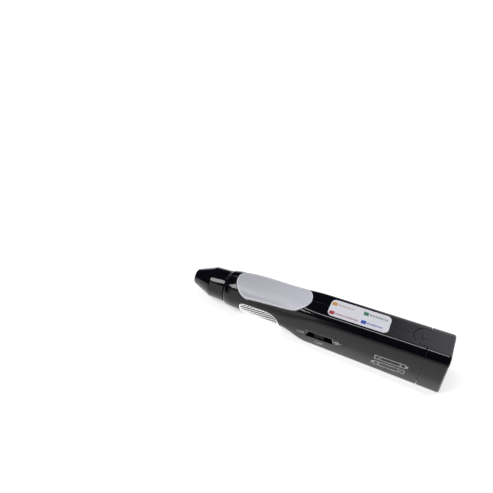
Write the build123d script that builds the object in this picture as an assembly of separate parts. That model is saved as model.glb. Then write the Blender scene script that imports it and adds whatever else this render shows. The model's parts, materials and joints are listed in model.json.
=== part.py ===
from build123d import *
import math
import os

# Hand-held diamond tester pen, in millimetres.
# While it is built, x runs from the nose tip to the rear face along the nose axis,
# z is up through the display lens and the side with the slide switch faces -y.
# At the end the whole pen is laid down on its flat underside.

# Whole pen
LENGTH = 160.0
NOSE_CAP_LENGTH = 23.8
BATTERY_CAP_LENGTH = 13.7
FRONT_RADIUS = 11.8
REAR_WIDTH = 22.6
REAR_DEPTH = 31.0
WALL = 1.8

# Clearances
RUNNING_FIT = 0.05
SEAM_GAP = 0.15
NOSE_JOINT_GAP = 0.5
CAP_JOINT_GAP = 0.4
TONGUE_GAP = 0.3
SEAT_GAP = 0.1
CLEARANCE = 0.3
OVERRUN = 4.0

# Outline of the body along its length
RIM_RADIUS = 10.4
SHOULDER_LENGTH = 7.2
SHOULDER_ANGLES = (0, 20, 40, 60, 90)
HEEL_REACH = 1.0
SQUARE_TOP_REACH = 15.0
SQUARE_BELLY_REACH = 18.0
FLARE_LENGTH = 24.0
SECTION_STEP = 4.0
FLARE_STEP = 3.0
SIDE_FLAT = 0.3
LENS_EDGE_RADIUS = 8.8
TOP_EDGE_RADIUS = 5.0
GRIP_EDGE_RADIUS = 9.9
BOTTOM_EDGE_RADIUS = 1.5
SMALLEST_RADIUS = 0.3
REAR_EDGE_RADIUS = 1.6

# Parting groove between the two side shells
GROOVE_WIDTH = 0.4
GROOVE_DEPTH = 0.25

# Nose cap
TIP_RADIUS = 5.0
TIP_ROUNDING = 1.0
CONE_LENGTH = 12.6
BAND_RADIUS = 10.0
CREASE_ROUNDING = 4.0
CAP_WALL = 1.3
CAP_TIP_WALL = 1.6

# Nose holder, which carries the probe and takes the cap
SPIGOT_RADIUS = BAND_RADIUS - CAP_WALL - CLEARANCE
HOLDER_TIP_X = 6.4
HOLDER_TIP_RADIUS = 3.4
HOLDER_CONE_END_X = 14.8
HOLDER_TIP_ROUNDING = 0.6
FRONT_WALL = 2.4
FLANGE_THICKNESS = 2.6
FLANGE_RADIUS = 9.3
SPRING_CHAMBER_RADIUS = 3.2
SPRING_CHAMBER_WALL = 0.6
CHAMBER_SETBACK = 1.8
HOLDER_REACH = 14.2

# Sealing ring on the nose holder
RING_SETBACK = 6.2
RING_WIRE_RADIUS = 0.6
RING_GROOVE_FLOOR = 1.1

# Probe
NEEDLE_TIP_X = 3.2
NEEDLE_POINT_LENGTH = 1.8
NEEDLE_POINT_RADIUS = 0.15
NEEDLE_RADIUS = 0.75
SLEEVE_RADIUS = 2.2
SLEEVE_STANDOUT = 1.0
SLEEVE_CHAMFER = 0.5
COLLAR_RADIUS = 3.0
COLLAR_THICKNESS = 1.6
HEATER_RADIUS = 1.6
HEATER_LENGTH = 4.0
HEATER_OFFSET = 1.4
PROBE_TRAVEL = 1.5
PROBE_TRAVEL_ROOM = 0.5
PROBE_SPRING_RADIUS = 2.5
PROBE_SPRING_WIRE_RADIUS = 0.25
PROBE_SPRING_TURNS = 6
RETAINER_THICKNESS = 2.0
RETAINER_BORE_RADIUS = 1.3
PROBE_LEAD_RADIUS = 0.4

# Ultraviolet lamp beside the probe
UV_LED_RADIUS = 1.5
UV_LED_Z = 4.3
UV_LED_FRONT_X = 7.8
UV_LED_LENGTH = 6.2
UV_LEAD_RADIUS = 0.22
UV_LEAD_SPACING = 1.2
UV_LEAD_SPREAD = 3.6

# Display lens
LENS_OVERLAP = 1.0
LENS_LENGTH = 48.2
LENS_FRONT_WIDTH = 21.2
LENS_REAR_WIDTH = 19.2
LENS_THICKNESS = 1.5
LENS_PROUD = 0.2
LENS_SKIRT_DROP = 7.0
LENS_GAP = 0.15

# Grip plate
GRIP_REACH = 4.4
GRIP_LENGTH = 26.2
GRIP_TOP_Z = 2.5
GRIP_FRONT_CORNER = 3.5
GRIP_REAR_CORNER = 9.0
GRIP_PLATE_THICKNESS = 1.0
GRIP_PLATE_RECESS = 0.15
GRIP_EDGE_GAP = 0.25

# Main circuit board and what stands on it
BOARD_FRONT_GAP = 2.0
BOARD_REAR_GAP = 5.5
BOARD_TOP_Z = -0.9
BOARD_THICKNESS = 1.2
LIGHT_BOX_FRONT_SETBACK = 14.0
LIGHT_BOX_REAR_SETBACK = 1.2
LIGHT_BOX_WIDTH = 11.4
LIGHT_BOX_WALL = 1.0
LIGHT_BOX_FLOOR = 1.8
LIGHT_BOX_FLOOR_WIDTH = 6.0
LIGHT_BOX_HEADROOM = 1.0
LED_SIDE = 3.5
LED_HEIGHT = 1.4
LED_LENS_RADIUS = 1.2
LED_LENS_DEPTH = 0.3
LED_COUNT = 3
LED_NAMES = ("front", "middle", "rear")
CHIP_SIDE = 7.0
CHIP_HEIGHT = 1.4
CHIP_AHEAD_OF_TRAY = 17.5
BUZZER_REACH = 18.5
BUZZER_RADIUS = 4.5
BUZZER_HEIGHT = 3.6
BUZZER_HOLE_RADIUS = 0.8
BUZZER_HOLE_DEPTH = 1.2

# Grip contact, a bent brass strip
CONTACT_REACH = 11.0
CONTACT_WIDTH = 3.0
CONTACT_THICKNESS = 0.3
CONTACT_FOOT = 3.0

# Slide switch
SWITCH_AHEAD_OF_TRAY = 15.9
SWITCH_Z = -5.0
SWITCH_TRAVEL = 3.0
SWITCH_LENGTH = 13.0
SWITCH_DEPTH = 5.6
SWITCH_SLOT_LENGTH = 14.0
SWITCH_SLOT_HEIGHT = 4.7
SWITCH_RAMP_LENGTH = 1.7
SWITCH_RECESS_DEPTH = 1.1
SHIELD_THICKNESS = 0.7
SHIELD_LIP = 0.2
KNOB_LENGTH = 6.3
KNOB_HEIGHT = 4.0
KNOB_BELOW_SIDE = 0.6
KNOB_RIB_COUNT = 4
KNOB_RIB_WIDTH = 0.6
KNOB_RIB_HEIGHT = 0.25
STEM_LENGTH = 2.4
STEM_HEIGHT = 1.8
STEM_DEPTH = 2.2

# Cells and battery tray
CELL_LENGTH = 44.5
CELL_RADIUS = 5.25
CELL_BUTTON_RADIUS = 1.9
CELL_BUTTON_LENGTH = 1.0
CELL_EDGE_ROUNDING = 0.5
CELL_PITCH = 11.2
CELL_TOP_CLEARANCE = 1.6
TRAY_WALL = 1.1
CAP_PAD_LENGTH = 3.7
TRAY_FRONT_WALL = 1.5
TRAY_SPIGOT_LENGTH = 4.5
TRAY_COLLAR_LENGTH = 6.0
CONTACT_PLATE_THICKNESS = 0.4
CONTACT_PLATE_RADIUS = 4.0
BATTERY_SPRING_LENGTH = 4.0
BATTERY_SPRING_RADIUS = 3.0
BATTERY_SPRING_WIRE_RADIUS = 0.3
BATTERY_SPRING_TURNS = 3
BRIDGE_WIDTH = 7.2

# Battery cap tongue
TONGUE_RADIUS = 5.7
TONGUE_REACH = 8.4
TONGUE_THICKNESS = 1.5

# Leads inside the body
LEAD_RADIUS = 0.5
LEAD_BEND = 1.6
LEAD_Y = 2.5
BLACK_LEAD_RISE = 1.8
LEAD_LANDING = 3.0
THIN_LEAD_BEND = 0.8

# Screws that hold the two shells together
SCREW_HEAD_RADIUS = 1.9
SCREW_HEAD_HEIGHT = 1.4
SCREW_SHANK_RADIUS = 0.95
SCREW_REACH = 5.5
SCREW_BELOW_SURFACE = 0.4
SCREW_SLOT_WIDTH = 0.5
SCREW_SLOT_DEPTH = 0.6
BOSS_RADIUS = 2.8
PILOT_GAP = 0.05
FRONT_SCREW_BEHIND_GRIP = 8.0
FRONT_SCREW_Z = -8.5
REAR_SCREWS_AHEAD_OF_TRAY = 4.0
UPPER_SCREW_Z = 6.7
LOWER_SCREW_Z = -10.9

# Colour guide label
LABEL_AHEAD_OF_TRAY = 14.3
LABEL_LENGTH = 35.4
LABEL_WIDTH = 12.6
LABEL_THICKNESS = 0.15
LABEL_CORNER = 3.0

QUARTER_TURN = 90
EIGHTH_TURN = 45

# Places worked out from the sizes above
REAR_SEAM_X = LENGTH - BATTERY_CAP_LENGTH
SHOULDER_END_X = NOSE_CAP_LENGTH + SHOULDER_LENGTH
HEEL_X = SHOULDER_END_X + HEEL_REACH
SQUARE_TOP_X = SHOULDER_END_X + SQUARE_TOP_REACH
LENS_START_X = SHOULDER_END_X - LENS_OVERLAP
LENS_END_X = LENS_START_X + LENS_LENGTH
GRIP_START_X = SHOULDER_END_X + GRIP_REACH
GRIP_END_X = GRIP_START_X + GRIP_LENGTH
FLARE_START_X = GRIP_END_X
SQUARE_BELLY_X = FLARE_START_X + SQUARE_BELLY_REACH
FLARE_END_X = FLARE_START_X + FLARE_LENGTH
UNDERSIDE_SLOPE = (REAR_DEPTH - 2 * FRONT_RADIUS) / (LENGTH - HEEL_X)
LYING_ANGLE = math.degrees(math.atan(UNDERSIDE_SLOPE))
CAVITY_FRONT_X = NOSE_CAP_LENGTH + FRONT_WALL
CAVITY_TOP_Z = FRONT_RADIUS - WALL
BOARD_BOTTOM_Z = BOARD_TOP_Z - BOARD_THICKNESS
UPPER_CELL_Z = CAVITY_TOP_Z - CELL_TOP_CLEARANCE - CELL_RADIUS
LOWER_CELL_Z = UPPER_CELL_Z - CELL_PITCH
BRIDGE_X = LENGTH - WALL - CAP_PAD_LENGTH - CONTACT_PLATE_THICKNESS
LOWER_CELL_X = BRIDGE_X - SEAM_GAP - CELL_LENGTH
UPPER_CELL_X = LOWER_CELL_X - BATTERY_SPRING_LENGTH
TRAY_FLOOR_X = UPPER_CELL_X - RUNNING_FIT - CONTACT_PLATE_THICKNESS
TRAY_FRONT_X = TRAY_FLOOR_X - TRAY_FRONT_WALL
TRAY_END_X = REAR_SEAM_X + TRAY_SPIGOT_LENGTH
RING_X = NOSE_CAP_LENGTH - RING_SETBACK
CHAMBER_STEP_X = NOSE_CAP_LENGTH - CHAMBER_SETBACK
HOLDER_END_X = NOSE_CAP_LENGTH + HOLDER_REACH
CHAMBER_RADIUS = SPRING_CHAMBER_RADIUS + SPRING_CHAMBER_WALL
COLLAR_X = CHAMBER_STEP_X + RUNNING_FIT
RETAINER_X = HOLDER_END_X - RETAINER_THICKNESS
HEATER_X = COLLAR_X + COLLAR_THICKNESS + HEATER_OFFSET
NEEDLE_END_X = RETAINER_X - PROBE_TRAVEL - PROBE_TRAVEL_ROOM
BOARD_START_X = HOLDER_END_X + BOARD_FRONT_GAP
BOARD_END_X = TRAY_FRONT_X - BOARD_REAR_GAP
LIGHT_BOX_START_X = LENS_START_X + LIGHT_BOX_FRONT_SETBACK
LIGHT_BOX_END_X = LENS_END_X - LIGHT_BOX_REAR_SETBACK
BUZZER_X = GRIP_START_X + BUZZER_REACH
CONTACT_X = GRIP_START_X + CONTACT_REACH
CHIP_X = TRAY_FRONT_X - CHIP_AHEAD_OF_TRAY
SWITCH_X = TRAY_FRONT_X - SWITCH_AHEAD_OF_TRAY
LABEL_START_X = TRAY_FRONT_X - LABEL_AHEAD_OF_TRAY
FRONT_SCREW_X = GRIP_END_X + FRONT_SCREW_BEHIND_GRIP
REAR_SCREWS_X = TRAY_FRONT_X - REAR_SCREWS_AHEAD_OF_TRAY


def ease(x, start, end, first, last):
    """A value that turns smoothly from first to last between two places."""
    share = min(max((x - start) / (end - start), 0), 1)
    share = share * share * (3 - 2 * share)
    return first + (last - first) * share


def shoulder_radius(x):
    """Radius of the front shoulder, a quarter of an ellipse behind the nose cap."""
    share = min(max((SHOULDER_END_X - x) / SHOULDER_LENGTH, 0), 1)
    return RIM_RADIUS + (FRONT_RADIUS - RIM_RADIUS) * math.sqrt(1 - share * share)


def half_width(x):
    """Half of the body's width at a place along it."""
    if x < SHOULDER_END_X:
        return shoulder_radius(x)
    return ease(x, FLARE_START_X, FLARE_END_X, FRONT_RADIUS, REAR_WIDTH / 2)


def underside(x):
    """Height of the flat underside at a place along the body."""
    flat = -FRONT_RADIUS - UNDERSIDE_SLOPE * (x - HEEL_X)
    if x < HEEL_X:
        return max(-shoulder_radius(x), flat)
    return flat


def top_edge(x):
    """Rounding of the body's two top edges at a place along it."""
    if x < SQUARE_TOP_X:
        start = NOSE_CAP_LENGTH + SHOULDER_LENGTH / 2
        return ease(x, start, SQUARE_TOP_X, shoulder_radius(x) - SIDE_FLAT, LENS_EDGE_RADIUS)
    return ease(x, FLARE_START_X, FLARE_END_X, LENS_EDGE_RADIUS, TOP_EDGE_RADIUS)


def bottom_edge(x):
    """Rounding of the body's two bottom edges at a place along it."""
    if x < FLARE_START_X:
        round_edge = shoulder_radius(x) - SIDE_FLAT
        return ease(x, SHOULDER_END_X, FLARE_START_X, round_edge, GRIP_EDGE_RADIUS)
    return ease(x, FLARE_START_X, SQUARE_BELLY_X, GRIP_EDGE_RADIUS, BOTTOM_EDGE_RADIUS)


def rounded_corner(x, y, z, radius, start_angle):
    """A quarter arc across the body, about a centre at y and z."""
    points = []
    for angle in (start_angle, start_angle + EIGHTH_TURN, start_angle + QUARTER_TURN):
        turn = math.radians(angle)
        points.append((x, y + radius * math.cos(turn), z + radius * math.sin(turn)))
    return ThreePointArc(*points)


def cross_section(x, grow):
    """The body's closed outline across its length, grown outwards or inwards."""
    side = half_width(x) + grow
    top = shoulder_radius(x) + grow
    bottom = underside(x) - grow
    top_radius = max(top_edge(x) + grow, SMALLEST_RADIUS)
    bottom_radius = max(bottom_edge(x) + grow, SMALLEST_RADIUS)
    corners = [
        rounded_corner(x, side - top_radius, top - top_radius, top_radius, 0),
        rounded_corner(x, top_radius - side, top - top_radius, top_radius, QUARTER_TURN),
        rounded_corner(x, bottom_radius - side, bottom + bottom_radius, bottom_radius, 2 * QUARTER_TURN),
        rounded_corner(x, side - bottom_radius, bottom + bottom_radius, bottom_radius, 3 * QUARTER_TURN),
    ]
    edges = []
    for index, corner in enumerate(corners):
        following = corners[(index + 1) % len(corners)]
        edges.append(corner)
        edges.append(Line(corner @ 1, following @ 0))
    return Face(Wire(edges))


def evenly(start, end, step):
    """Places from start to end, no further apart than step."""
    count = math.ceil((end - start) / step)
    return [start + (end - start) * index / count for index in range(count + 1)]


def section_places(start, end):
    """Where the body's sections lie between two places."""
    places = []
    for angle in SHOULDER_ANGLES:
        places.append(NOSE_CAP_LENGTH + SHOULDER_LENGTH * (1 - math.cos(math.radians(angle))))
    places += evenly(SHOULDER_END_X, FLARE_START_X, SECTION_STEP)[1:]
    places += evenly(FLARE_START_X, FLARE_END_X, FLARE_STEP)[1:]
    inside = [x for x in places if start + SMALLEST_RADIUS < x < end - SMALLEST_RADIUS]
    return [start] + inside + [end]


def body_solid(start, end, grow):
    """The body's form between two places, grown outwards or inwards."""
    spans = []
    if start < FLARE_END_X:
        places = section_places(start, min(end, FLARE_END_X))
        spans.append(loft([cross_section(x, grow) for x in places]))
    if end > FLARE_END_X:
        ends = (max(start, FLARE_END_X), end)
        spans.append(loft([cross_section(x, grow) for x in ends], ruled=True))
    return spans[0] if len(spans) == 1 else spans[0] + spans[1]


def rod(start, end, radius, y=0, z=0):
    """A round bar along the nose axis."""
    return Pos((start + end) / 2, y, z) * Rot(0, QUARTER_TURN, 0) * Cylinder(radius, end - start)


def cross_rod(x, z, start, end, radius):
    """A round bar across the body, along y."""
    return Pos(x, (start + end) / 2, z) * Rot(QUARTER_TURN, 0, 0) * Cylinder(radius, end - start)


def block(x_range, y_range, z_range):
    """A box between pairs of places."""
    sizes = [high - low for low, high in (x_range, y_range, z_range)]
    middle = [(low + high) / 2 for low, high in (x_range, y_range, z_range)]
    return Pos(*middle) * Box(*sizes)


def flat_face(path):
    """The face inside an open path, closed by a straight line."""
    edges = list(path.edges()) + [Line(path @ 1, path @ 0)]
    return Face(Wire(edges))


def turned(points):
    """A piece turned about the nose axis from (x, radius) points."""
    path = Polyline(*[(x, 0, radius) for x, radius in points])
    return revolve(flat_face(path), Axis.X)


def coil(start, end, radius, wire_radius, turns, z=0):
    """A compression spring along the nose axis, one unbroken wire in quarter turns."""
    first = start + wire_radius
    climb = (end - start - 2 * wire_radius) / turns

    def place(quarters):
        turn = math.radians(quarters * QUARTER_TURN)
        x = first + climb * quarters / 4
        return (x, radius * math.cos(turn), z + radius * math.sin(turn))

    arcs = []
    for quarter in range(4 * turns):
        arcs.append(ThreePointArc(place(quarter), place(quarter + 0.5), place(quarter + 1)))
    path = Wire(arcs)
    profile = Plane(origin=path @ 0, z_dir=path % 0) * Circle(wire_radius)
    return sweep(profile, path=path)


def spring_gap(length, wire_radius, turns):
    """The open gap between neighbouring turns of a spring."""
    return (length - 2 * wire_radius) / turns - 2 * wire_radius


def bent_wire(points, wire_radius, bend):
    """A round wire along straight runs joined by arcs."""
    path = FilletPolyline(*points, radius=bend) if len(points) > 2 else Line(*points)
    profile = Plane(origin=path @ 0, z_dir=path % 0) * Circle(wire_radius)
    return sweep(profile, path=path)


def lens_outline(grow):
    """The upright prism of the display lens, round at both ends and narrower behind."""
    low = FRONT_RADIUS - LENS_SKIRT_DROP - (SEAT_GAP if grow > 0 else 0)
    front_x = LENS_START_X + LENS_FRONT_WIDTH / 2
    rear_x = LENS_END_X - LENS_REAR_WIDTH / 2
    front_radius = LENS_FRONT_WIDTH / 2 + grow
    rear_radius = LENS_REAR_WIDTH / 2 + grow
    touch = math.acos((front_radius - rear_radius) / (rear_x - front_x))
    arcs = []
    for middle, radius, way in ((front_x, front_radius, -1), (rear_x, rear_radius, 1)):
        side_x = middle + radius * math.cos(touch)
        side_y = way * radius * math.sin(touch)
        tip = (middle + way * radius, 0, low)
        arcs.append(ThreePointArc((side_x, -side_y, low), tip, (side_x, side_y, low)))
    front, rear = arcs
    outline = Wire([front, Line(front @ 1, rear @ 0), rear, Line(rear @ 1, front @ 0)])
    return extrude(Face(outline), amount=LENS_SKIRT_DROP + OVERRUN, dir=(0, 0, 1))


def grip_outline(grow):
    """The prism of the grip plate as seen from the side, open below the body."""
    left = GRIP_START_X - grow
    right = GRIP_END_X + grow
    top = GRIP_TOP_Z + grow
    low = underside(LENGTH) - OVERRUN
    front_corner = GRIP_FRONT_CORNER + grow
    rear_corner = GRIP_REAR_CORNER + grow
    y = -FRONT_RADIUS - OVERRUN
    path = FilletPolyline((left, y, low), (left, y, top), (right, y, top), (right, y, low),
                          radius=[front_corner, rear_corner])
    return extrude(flat_face(path), amount=2 * (FRONT_RADIUS + OVERRUN), dir=(0, 1, 0))


def tongue_outline(grow):
    """The upright prism of the battery cap's round-ended tongue."""
    radius = TONGUE_RADIUS + grow
    centre_x = REAR_SEAM_X - TONGUE_REACH + TONGUE_RADIUS
    top = FRONT_RADIUS + OVERRUN
    low = FRONT_RADIUS - OVERRUN
    round_end = Pos(centre_x, 0, (top + low) / 2) * Cylinder(radius, top - low)
    root_end = REAR_SEAM_X + CAP_JOINT_GAP + WALL
    root = block((centre_x, root_end), (-radius, radius), (low, top))
    return round_end + root


def screw_places():
    """Where the three housing screws cross the body."""
    return ((FRONT_SCREW_X, FRONT_SCREW_Z), (REAR_SCREWS_X, UPPER_SCREW_Z), (REAR_SCREWS_X, LOWER_SCREW_Z))


def make_shells():
    """The two side shells of the housing, parted down the middle."""
    outside = body_solid(NOSE_CAP_LENGTH, REAR_SEAM_X, 0)
    cavity = body_solid(CAVITY_FRONT_X, REAR_SEAM_X + OVERRUN, -WALL)
    housing = outside - cavity
    for x, z in screw_places():
        reach = half_width(x) - WALL / 2
        housing += cross_rod(x, z, -reach, reach, BOSS_RADIUS) & outside
    housing -= rod(NOSE_CAP_LENGTH - OVERRUN, CAVITY_FRONT_X + OVERRUN, SPIGOT_RADIUS + RUNNING_FIT)
    housing -= lens_outline(LENS_GAP)
    housing -= make_grip_pocket()
    housing -= make_grip_window()
    housing -= tongue_outline(TONGUE_GAP)
    skin = outside - body_solid(NOSE_CAP_LENGTH, REAR_SEAM_X, -GROOVE_DEPTH)
    far_out = FRONT_RADIUS + OVERRUN
    low = underside(LENGTH) - OVERRUN
    middle = block((0, LENGTH), (-GROOVE_WIDTH / 2, GROOVE_WIDTH / 2), (low, far_out))
    housing -= skin & middle
    near_half = block((0, LENGTH), (-far_out, 0), (low, far_out))
    far_half = block((0, LENGTH), (0, far_out), (low, far_out))
    near = (housing & near_half) - make_switch_opening()
    far = housing & far_half
    for x, z in screw_places():
        surface = half_width(x)
        head_seat = surface - SCREW_BELOW_SURFACE - SCREW_HEAD_HEIGHT
        far -= cross_rod(x, z, head_seat, far_out, SCREW_HEAD_RADIUS + SEAT_GAP)
        far -= cross_rod(x, z, -OVERRUN, far_out, SCREW_SHANK_RADIUS + SEAT_GAP)
        near -= cross_rod(x, z, -SCREW_REACH - CLEARANCE, OVERRUN, SCREW_SHANK_RADIUS + PILOT_GAP)
    return near, far


def make_grip_pocket():
    """The pocket round the body's front that takes the grip plate."""
    depth = GRIP_PLATE_RECESS + GRIP_PLATE_THICKNESS + RUNNING_FIT
    core = body_solid(GRIP_START_X - OVERRUN, GRIP_END_X + OVERRUN, -depth)
    return grip_outline(GRIP_EDGE_GAP) - core


def make_grip_window():
    """The window in the pocket floor where the grip contact passes."""
    half = CONTACT_WIDTH / 2 + CLEARANCE
    x_range = (CONTACT_X - CONTACT_THICKNESS - CLEARANCE, CONTACT_X + CONTACT_FOOT + CLEARANCE)
    return block(x_range, (-half, half), (underside(CONTACT_X), underside(CONTACT_X) + OVERRUN))


def make_switch_opening():
    """The ramped recess and the slot of the slide switch in the near shell."""
    side = -half_width(SWITCH_X)
    half_slot = SWITCH_SLOT_LENGTH / 2
    floor = side + SWITCH_RECESS_DEPTH
    half_height = SWITCH_SLOT_HEIGHT / 2
    outline = [
        (SWITCH_X - half_slot - SWITCH_RAMP_LENGTH, side - OVERRUN),
        (SWITCH_X - half_slot - SWITCH_RAMP_LENGTH, side),
        (SWITCH_X - half_slot, floor),
        (SWITCH_X + half_slot, floor),
        (SWITCH_X + half_slot + SWITCH_RAMP_LENGTH, side),
        (SWITCH_X + half_slot + SWITCH_RAMP_LENGTH, side - OVERRUN),
    ]
    places = [(x, y, SWITCH_Z - half_height) for x, y in outline]
    recess = extrude(flat_face(Polyline(*places)), amount=SWITCH_SLOT_HEIGHT, dir=(0, 0, 1))
    slot = block((SWITCH_X - half_slot, SWITCH_X + half_slot), (side - OVERRUN, side + WALL + OVERRUN),
                 (SWITCH_Z - half_height, SWITCH_Z + half_height))
    return recess + slot


def make_display_lens():
    """The translucent lens, a crowned sheet that follows the top of the body."""
    start = LENS_START_X - OVERRUN
    end = LENS_END_X + OVERRUN
    sheet = body_solid(start, end, LENS_PROUD) - body_solid(start, end, -LENS_THICKNESS)
    return sheet & lens_outline(0)


def make_grip_plate():
    """The metal grip plate, which wraps round the underside of the front."""
    start = GRIP_START_X - OVERRUN
    end = GRIP_END_X + OVERRUN
    outer = body_solid(start, end, -GRIP_PLATE_RECESS)
    inner = body_solid(start, end, -GRIP_PLATE_RECESS - GRIP_PLATE_THICKNESS)
    return (outer - inner) & grip_outline(0)


def make_grip_contact():
    """The bent strip from the circuit board to the grip plate."""
    top = BOARD_BOTTOM_Z
    plate_inside = GRIP_PLATE_RECESS + GRIP_PLATE_THICKNESS
    low = underside(CONTACT_X) + plate_inside + SEAT_GAP
    thick = CONTACT_THICKNESS
    outline = [
        (CONTACT_X - CONTACT_FOOT, top),
        (CONTACT_X + thick, top),
        (CONTACT_X + thick, low + thick),
        (CONTACT_X + CONTACT_FOOT, low + thick),
        (CONTACT_X + CONTACT_FOOT, low),
        (CONTACT_X, low),
        (CONTACT_X, top - thick),
        (CONTACT_X - CONTACT_FOOT, top - thick),
    ]
    places = [(x, -CONTACT_WIDTH / 2, z) for x, z in outline]
    return extrude(flat_face(Polyline(*places)), amount=CONTACT_WIDTH, dir=(0, 1, 0))


def make_nose_cap():
    """The pull-off cap over the probe: a blunt cone and a band."""
    bore = BAND_RADIUS - CAP_WALL
    rim = NOSE_CAP_LENGTH - NOSE_JOINT_GAP
    outline = [(0, 0, 0), (0, 0, TIP_RADIUS), (CONE_LENGTH, 0, BAND_RADIUS), (rim, 0, RIM_RADIUS)]
    path = FilletPolyline(*outline, radius=[TIP_ROUNDING, CREASE_ROUNDING])
    edges = list(path.edges()) + [Line((rim, 0, RIM_RADIUS), (rim, 0, 0)), Line((rim, 0, 0), (0, 0, 0))]
    outside = revolve(Face(Wire(edges)), Axis.X)
    inside = turned([
        (CAP_TIP_WALL, 0),
        (CAP_TIP_WALL, TIP_RADIUS - CAP_WALL),
        (CONE_LENGTH + CAP_WALL, bore),
        (rim + OVERRUN, bore),
        (rim + OVERRUN, 0),
    ])
    return outside - inside


def make_nose_holder():
    """The nose piece under the cap, which guides the probe."""
    bore = SLEEVE_RADIUS + RUNNING_FIT
    ring_floor = SPIGOT_RADIUS - RING_GROOVE_FLOOR
    ring_half = RING_WIRE_RADIUS + RUNNING_FIT
    flange_x = CAVITY_FRONT_X + RUNNING_FIT
    flange_end = flange_x + FLANGE_THICKNESS
    holder = turned([
        (HOLDER_TIP_X, bore),
        (HOLDER_TIP_X, HOLDER_TIP_RADIUS - HOLDER_TIP_ROUNDING),
        (HOLDER_TIP_X + HOLDER_TIP_ROUNDING, HOLDER_TIP_RADIUS),
        (HOLDER_CONE_END_X, SPIGOT_RADIUS),
        (RING_X - ring_half, SPIGOT_RADIUS),
        (RING_X - ring_half, ring_floor),
        (RING_X + ring_half, ring_floor),
        (RING_X + ring_half, SPIGOT_RADIUS),
        (flange_x, SPIGOT_RADIUS),
        (flange_x, FLANGE_RADIUS),
        (flange_end, FLANGE_RADIUS),
        (flange_end, CHAMBER_RADIUS),
        (HOLDER_END_X, CHAMBER_RADIUS),
        (HOLDER_END_X, SPRING_CHAMBER_RADIUS),
        (CHAMBER_STEP_X, SPRING_CHAMBER_RADIUS),
        (CHAMBER_STEP_X, bore),
    ])
    lamp_end = UV_LED_FRONT_X + UV_LED_LENGTH
    holder -= rod(0, lamp_end, UV_LED_RADIUS + RUNNING_FIT, 0, UV_LED_Z)
    for side in (-1, 1):
        y = side * UV_LEAD_SPACING / 2
        holder -= rod(lamp_end - SEAT_GAP, HOLDER_END_X, UV_LEAD_RADIUS + SEAT_GAP, y, UV_LED_Z)
    return holder


def make_sealing_ring():
    """The rubber ring that grips the inside of the nose cap."""
    radius = SPIGOT_RADIUS + CLEARANCE - RUNNING_FIT - RING_WIRE_RADIUS
    return Pos(RING_X, 0, 0) * Rot(0, QUARTER_TURN, 0) * Torus(radius, RING_WIRE_RADIUS)


def make_probe_needle():
    """The copper needle that touches the stone."""
    shank_x = NEEDLE_TIP_X + NEEDLE_POINT_LENGTH
    return turned([
        (NEEDLE_TIP_X, 0),
        (NEEDLE_TIP_X, NEEDLE_POINT_RADIUS),
        (shank_x, NEEDLE_RADIUS),
        (NEEDLE_END_X, NEEDLE_RADIUS),
        (NEEDLE_END_X, 0),
    ])


def make_probe_sleeve():
    """The ceramic sleeve that insulates and guides the needle."""
    front = HOLDER_TIP_X - SLEEVE_STANDOUT
    bore = NEEDLE_RADIUS + RUNNING_FIT
    return turned([
        (front, bore),
        (front, SLEEVE_RADIUS - SLEEVE_CHAMFER),
        (front + SLEEVE_CHAMFER, SLEEVE_RADIUS),
        (COLLAR_X, SLEEVE_RADIUS),
        (COLLAR_X, bore),
    ])


def make_probe_collar():
    """The collar that the probe spring pushes on."""
    collar = rod(COLLAR_X, COLLAR_X + COLLAR_THICKNESS, COLLAR_RADIUS)
    return collar - rod(0, LENGTH, NEEDLE_RADIUS + RUNNING_FIT)


def make_probe_heater():
    """The small heater round the needle behind its collar."""
    heater = rod(HEATER_X, HEATER_X + HEATER_LENGTH, HEATER_RADIUS)
    return heater - rod(0, LENGTH, NEEDLE_RADIUS + RUNNING_FIT)


def probe_spring_length():
    """The probe spring's length at rest, between the collar and the retainer."""
    return RETAINER_X - COLLAR_X - COLLAR_THICKNESS - 2 * RUNNING_FIT


def make_probe_spring():
    """The spring that lets the probe give way when it is pressed."""
    start = COLLAR_X + COLLAR_THICKNESS + RUNNING_FIT
    end = start + probe_spring_length()
    return coil(start, end, PROBE_SPRING_RADIUS, PROBE_SPRING_WIRE_RADIUS, PROBE_SPRING_TURNS)


def make_probe_retainer():
    """The plug that closes the spring chamber."""
    plug = rod(RETAINER_X, HOLDER_END_X, SPRING_CHAMBER_RADIUS)
    return plug - rod(0, LENGTH, RETAINER_BORE_RADIUS)


def make_probe_lead():
    """The lead from the needle to the circuit board."""
    landing_z = BOARD_TOP_Z + PROBE_LEAD_RADIUS
    bend_x = (HOLDER_END_X + BOARD_START_X) / 2
    return bent_wire([
        (NEEDLE_END_X + RUNNING_FIT, 0, 0),
        (bend_x, 0, 0),
        (bend_x + LEAD_BEND, 0, landing_z),
        (bend_x + LEAD_BEND + LEAD_LANDING, 0, landing_z),
    ], PROBE_LEAD_RADIUS, THIN_LEAD_BEND)


def make_uv_lamp():
    """The ultraviolet lamp with its round front."""
    dome_x = UV_LED_FRONT_X + UV_LED_RADIUS
    dome = Pos(dome_x, 0, UV_LED_Z) * Sphere(UV_LED_RADIUS)
    end = UV_LED_FRONT_X + UV_LED_LENGTH - SEAT_GAP
    return dome + rod(dome_x, end, UV_LED_RADIUS, 0, UV_LED_Z)


def make_uv_lamp_leads():
    """The two leads from the ultraviolet lamp to the circuit board."""
    start = UV_LED_FRONT_X + UV_LED_LENGTH - SEAT_GAP
    bend_x = (HOLDER_END_X + BOARD_START_X) / 2
    leads = []
    for side in (-1, 1):
        y = side * UV_LEAD_SPACING / 2
        landing_y = side * UV_LEAD_SPREAD / 2
        landing_x = BOARD_START_X + LEAD_BEND
        leads.append(bent_wire([
            (start, y, UV_LED_Z),
            (bend_x, y, UV_LED_Z),
            (landing_x, landing_y, BOARD_TOP_Z),
        ], UV_LEAD_RADIUS, THIN_LEAD_BEND))
    return Compound(children=leads)


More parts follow.
